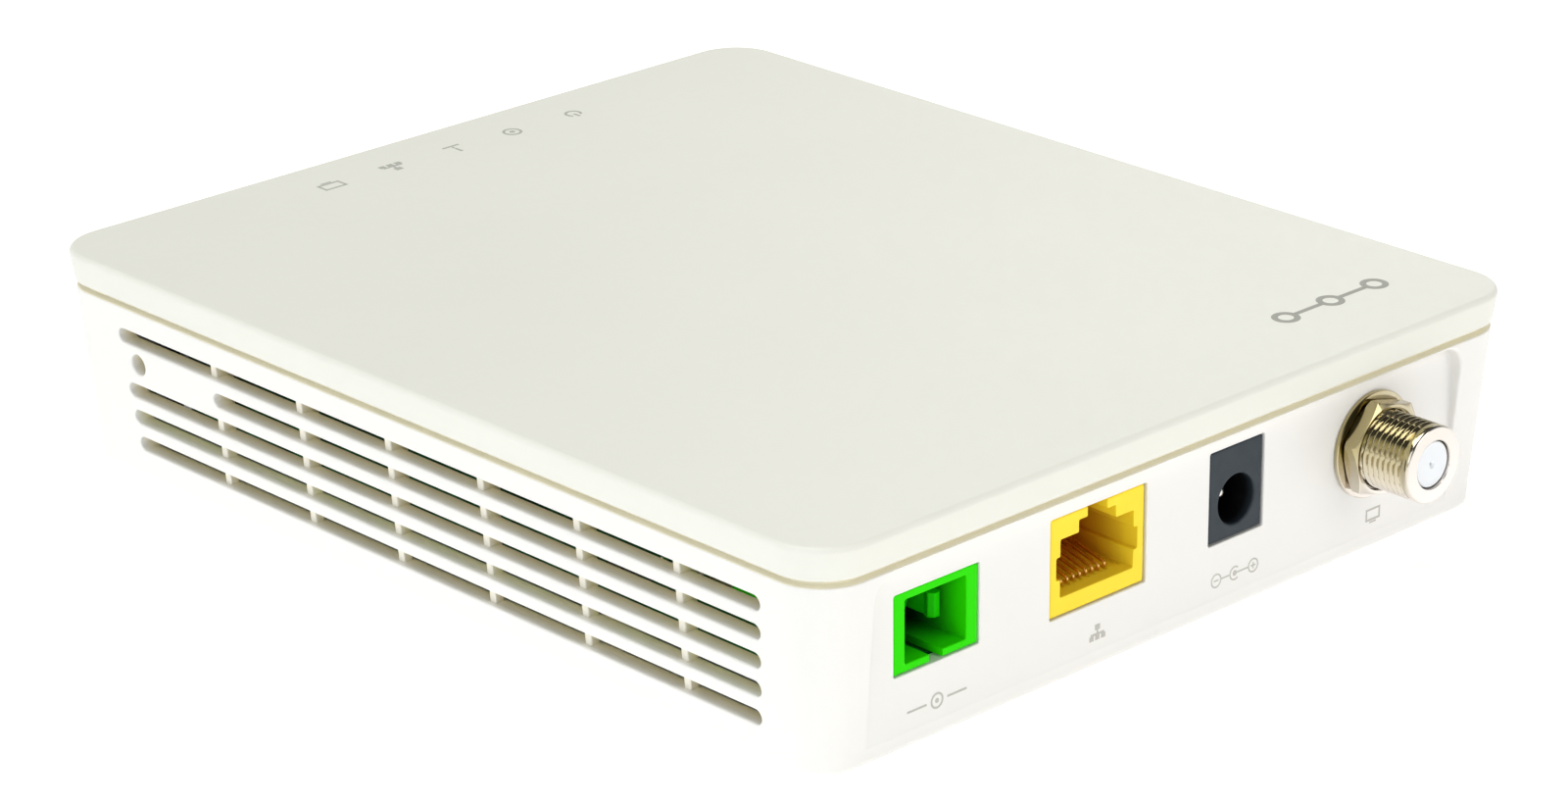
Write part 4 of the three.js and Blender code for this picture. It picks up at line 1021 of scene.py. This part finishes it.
def coax_barrel():
    """The threaded barrel with the square foot behind the panel that holds it on the board."""
    crest = THREAD["crest"]
    lip = [(BORE_R, 9), (BORE_R, 0.12), (BORE_R + 0.1, 0), (FACE_R, 0), (FACE_R + 0.16, 0.04)]
    lip += [(FACE_R + 0.27, 0.13), (crest, 0.32), (crest, 0.9)]
    rings = [coax_ring(COAX_END + y, r) for r, y in lip]
    rows = range(THREAD["turns"] * THREAD["rows"] + 2)
    rings += [coax_ring(THREAD_START + k * THREAD["pitch"] / THREAD["rows"]) for k in rows]
    rings += [coax_ring(BARREL_END, crest), coax_ring(BARREL_END, BORE_R)]
    barrel = skin("barrel", rings, closed=True)
    foot_block = block(-6, 6, 2.05, 11, -4.6, 5.6, COAX)
    for bore in (rod_y(BORE_R, 0, 9, COAX, 48), rod_y(1.5, 5, 12, COAX)):
        boolean(foot_block, [bore])
    bevel(foot_block, 0.2, 40)
    return boolean(barrel, [foot_block], "UNION")


def coax_dielectric():
    """The white insulator, with a countersunk hole for the cable's core."""
    face = COAX_END + 0.25
    profile = [
        (0.18, face + 0.26), (0.52, face), (2.7, face), (2.82, face + 0.12), (2.82, 8.8),
        (1.15, 8.8), (1.15, face + 1.2), (0.18, face + 1.2),
    ]
    return turned("dielectric", profile, COAX)


def coax_contact():
    """The centre contact: a hollow sleeve in front and a solid tail behind."""
    front = COAX_END + 1.7
    profile = [(0.3, front), (0.95, front), (1.0, front + 0.1)]
    profile += [(1.0, 8.4), (0.5, 8.4), (0.5, 13.3), (0.4, 13.4)]
    contact = turned("contact", profile, COAX, 32, False)
    return boolean(contact, [rod_y(0.5, front - 1, 6, COAX, 24)])


def coax_nut():
    """A hexagon with its corners turned off on both faces, and a chamfered bore."""
    front, back = NUT["front"], NUT["back"]
    angles = [math.radians(60 * k + NUT["turn"]) for k in range(6)]
    corner = NUT["across"] / math.sqrt(3)
    hexagon = filleted([(corner * math.cos(a), corner * math.sin(a)) for a in angles], 0.18)
    nut = prism("nut", hexagon, on_y(COAX), front, back, 0.03, 0.03)
    limit = [(0.1, -2.76), (5.42, -2.76), (6.5, -2.2), (6.5, -1.3), (5.5, -0.74), (0.1, -0.74)]
    boolean(nut, [turned("cutter", limit, COAX, 96, False)], "INTERSECT")
    bore_r = THREAD["crest"] + 0.12
    bore = [(5.1, -3.2), (5.1, front), (bore_r, -2.45), (bore_r, 0)]
    boolean(nut, [turned("cutter", bore, COAX, 96, False)])
    return bevel(nut, 0.07, 20)


def coax_washer():
    """A flat ring with a soft outer edge."""
    bore, rim, front, back = 4.9, 6.6, -0.65, -0.05
    profile = [(bore, front + 0.05), (bore + 0.1, front), (6.2, front), (rim - 0.1, front + 0.03)]
    profile += [(rim, front + 0.15), (rim, back - 0.05), (rim - 0.05, back), (bore, back)]
    return turned("washer", profile, COAX, 96)


finish_piece(coax_barrel(), "threaded_barrel", "coax_nickel", "coax_barrel", angle=40)
finish_piece(coax_dielectric(), "barrel_insulator", "dielectric", "coax_dielectric")
finish_piece(coax_contact(), "barrel_contact", "contact_gold", "coax_contact")
finish_piece(coax_nut(), "hexagon_nut", "coax_nickel", "coax_nut", angle=18)
finish_piece(coax_washer(), "flat_washer", "coax_nickel", "coax_washer")

# ---------- Printed marks: plain pictograms ----------

INK_SINK = 0.004


def band(u, radius, width, start, end):
    """A curved band round (u, 0) as one outline."""
    outer = arc((u, 0), radius + width / 2, start, end, 20)
    return outer + arc((u, 0), radius - width / 2, end, start, 20)


def hoop(u, radius, width):
    return [band(u, radius, width, 0, 180), band(u, radius, width, 180, 360)]


# Each mark is a list of outlines drawn round the origin, with lines 0.26 or 0.2 mm wide.
POWER_MARK = [band(0, 0.75, 0.26, -230, 50), bar(-0.13, 0.13, 0.1, 1.0)]
FIBRE_MARK = [*hoop(0, 0.85, 0.26), circle(0.3, steps=16)]
FIBRE_PORT_MARK = [*FIBRE_MARK, bar(-4.6, -1.6, -0.13, 0.13), bar(1.6, 4.6, -0.13, 0.13)]
ALERT_MARK = [bar(-1.0, 1.0, -0.95, -0.69), bar(-0.13, 0.13, -0.1, 0.95), circle(0.16, (0, -0.4), 12)]
NETWORK_MARK = [
    bar(-0.4, 0.4, 0.3, 0.95), bar(-0.13, 0.13, -0.1, 0.3), bar(-1.1, 1.1, -0.36, -0.1),
    bar(-1.3, -0.6, -0.95, -0.36), bar(0.6, 1.3, -0.95, -0.36), bar(-0.35, 0.35, -0.95, -0.36),
]
SCREEN_MARK = [
    bar(-1.3, 1.3, 0.55, 0.81), bar(-1.3, 1.3, -0.75, -0.49), bar(-1.3, -1.04, -0.49, 0.55),
    bar(1.04, 1.3, -0.49, 0.55), bar(-0.6, 0.6, -1.05, -0.85),
]
# An inlet whose centre is positive: minus on the left, plus on the right.
POLARITY_MARK = [
    *hoop(-3.2, 0.8, 0.2), *hoop(3.2, 0.8, 0.2), circle(0.35, steps=16), band(0, 0.8, 0.2, 50, 310),
    bar(-2.3, -0.95, -0.1, 0.1), bar(0.35, 2.3, -0.1, 0.1), bar(-3.6, -2.8, -0.1, 0.1),
    bar(2.8, 3.6, -0.1, 0.1), bar(3.1, 3.3, 0.1, 0.4), bar(3.1, 3.3, -0.4, -0.1),
]
# Three rings in a row, joined by two bars.
EMBLEM = [
    *hoop(-8, 1.35, 0.8), *hoop(0, 1.35, 0.8), *hoop(8, 1.35, 0.8),
    bar(-6.3, -1.7, -0.35, 0.35), bar(1.7, 6.3, -0.35, 0.35),
]


def on_top(u, v, h):
    """Places a mark on the cover so that it reads from the indicator side."""
    return (-u, -v, TOP_Z + h)


def on_panel(u, v, h):
    return (u, PANEL_Y - h, v)


def mark(name, shapes, u, v, place, ink, scale=1):
    """Prints the shapes, scaled and moved to (u, v), as one thin piece."""
    parts = []
    for shape in shapes:
        outline = [(u + a * scale, v + b * scale) for a, b in shape]
        parts.append(swept("ink", outline, place, [(-INK_SINK, 0), (INK_THICKNESS, 0)]))
    finish_piece(merged(parts), f"print_{name}", ink)


COVER_MARKS = [
    ("television", SCREEN_MARK, -19.9), ("network", NETWORK_MARK, -9.7), ("signal_loss", ALERT_MARK, 0.6),
    ("fibre", FIBRE_MARK, 10.2), ("power", POWER_MARK, 20.8),
]
COVER_MARK_Y, COVER_MARK_SCALE = 63.65, 1.35
EMBLEM_AT = (-37.75, 52.55)
PORT_MARKS = [
    ("fibre", FIBRE_PORT_MARK, OPTICAL[0]), ("network", NETWORK_MARK, LAN[0]),
    ("polarity", POLARITY_MARK, POWER[0]), ("television", SCREEN_MARK, COAX[0] + 1.0),
]
PORT_MARK_Z = 5.55

for name, shapes, x in COVER_MARKS:
    mark(name, shapes, -x, -COVER_MARK_Y, on_top, "cover_ink", COVER_MARK_SCALE)
mark("emblem", EMBLEM, *EMBLEM_AT, on_top, "emblem_ink")
for name, shapes, x in PORT_MARKS:
    mark(f"port_{name}", shapes, x, PORT_MARK_Z, on_panel, "port_ink")

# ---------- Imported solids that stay: finished with the slots of the record ----------

for row in frame["record"]["subparts"]:
    node = frame["nodes"][row["node"]]
    if not node.hide_render:
        node.data.materials.clear()
        node.data.materials.append(paint[row["material_slot"]])

# ---------- Floor, light and camera ----------

FLOOR_R, FLOOR_WHITE, FLOOR_GLOW = 6000, (0.92, 0.92, 0.92), 0.46


def white_floor():
    """Pale paper that glows a little, so that it stays white where the light is weak."""
    made = Paint("floor_sheet", FLOOR_WHITE, 0.9)
    made.tint(made.noise(3, 2), shade(FLOOR_WHITE, 0.99), FLOOR_WHITE)
    made.feed(Emission_Color=(1, 1, 1), Emission_Strength=FLOOR_GLOW)
    floor = turned_z("floor", [(FLOOR_R, -10), (FLOOR_R, -0.02)], 0, 0, 64)
    floor.data.transform(Matrix.Scale(MM, 4))
    floor.data.materials.append(paint["floor_sheet"])


white_floor()


def direction(azimuth, elevation):
    """The direction away from the object at two angles in degrees; azimuth 0 is on the -Y side."""
    a, e = math.radians(azimuth), math.radians(elevation)
    return Vector((math.sin(a) * math.cos(e), -math.cos(a) * math.cos(e), math.sin(e)))


def softbox(name, azimuth, elevation, distance, size, power, color=(1, 1, 1)):
    """A rectangular area light aimed at the object."""
    back = direction(azimuth, elevation)
    data = bpy.data.lights.new(name, "AREA")
    data.shape = "RECTANGLE"
    data.size, data.size_y = size
    data.energy = power
    data.color = color
    lamp = bpy.data.objects.new(name, data)
    scene.collection.objects.link(lamp)
    lamp.location = back * distance
    lamp.rotation_mode = "QUATERNION"
    lamp.rotation_quaternion = back.to_track_quat("Z", "Y")


softbox("key", -75, 28, 0.9, (0.7, 0.5), 1.8, (0.86, 0.92, 1.0))
softbox("front", 18, 24, 1.1, (0.6, 0.5), 2.75, (1.0, 0.96, 0.93))
softbox("top", -125, 76, 1.3, (0.9, 0.9), 12.2, (1.0, 1.0, 0.96))
softbox("rear", 120, 25, 1.1, (0.6, 0.5), 1.7)

SKY_FADE = {"From Min": 0.15, "From Max": 0.5, "To Min": 0.75, "To Max": 0.06}


def studio_world():
    """White walls that fade out upwards."""
    world = bpy.data.worlds.new("studio")
    scene.world = world
    world.use_nodes = True
    tree = world.node_tree
    sight = add_node(tree, "ShaderNodeTexCoord", {}, "Generated")
    height = add_node(tree, "ShaderNodeSeparateXYZ", {"Vector": sight}, "Z")
    strength = add_node(tree, "ShaderNodeMapRange", {"Value": height, **SKY_FADE}, "Result")
    background = tree.nodes["Background"].inputs
    feed(background["Color"], (1, 1, 1))
    feed(background["Strength"], strength)


studio_world()

scene.view_settings.view_transform = "Standard"
scene.view_settings.look = "None"
scene.view_settings.exposure = 0.0
scene.view_settings.gamma = 1.0

CAMERA_AZIMUTH, CAMERA_ELEVATION, CAMERA_ROLL = -43.444, 21.781, -0.507
CAMERA_LENS = 111.607
CAMERA_PLACE = Vector((-379.19, -398.65, 231.84))


def make_camera():
    """A long lens at its place, level but for a small roll."""
    a, e = math.radians(CAMERA_AZIMUTH), math.radians(CAMERA_ELEVATION)
    back = direction(CAMERA_AZIMUTH, CAMERA_ELEVATION)
    level = Vector((math.cos(a), math.sin(a), 0))
    roll = math.asin(math.sin(math.radians(CAMERA_ROLL)) / math.cos(e))
    right = Matrix.Rotation(roll, 3, back) @ level
    up = back.cross(right)
    data = bpy.data.cameras.new("camera")
    data.lens = CAMERA_LENS
    data.sensor_width = 36
    data.clip_start, data.clip_end = 0.01, 50
    camera = bpy.data.objects.new("camera", data)
    scene.collection.objects.link(camera)
    axes = Matrix((right, up, back)).transposed()
    camera.matrix_world = Matrix.Translation(CAMERA_PLACE * MM) @ axes.to_4x4()
    scene.camera = camera


make_camera()
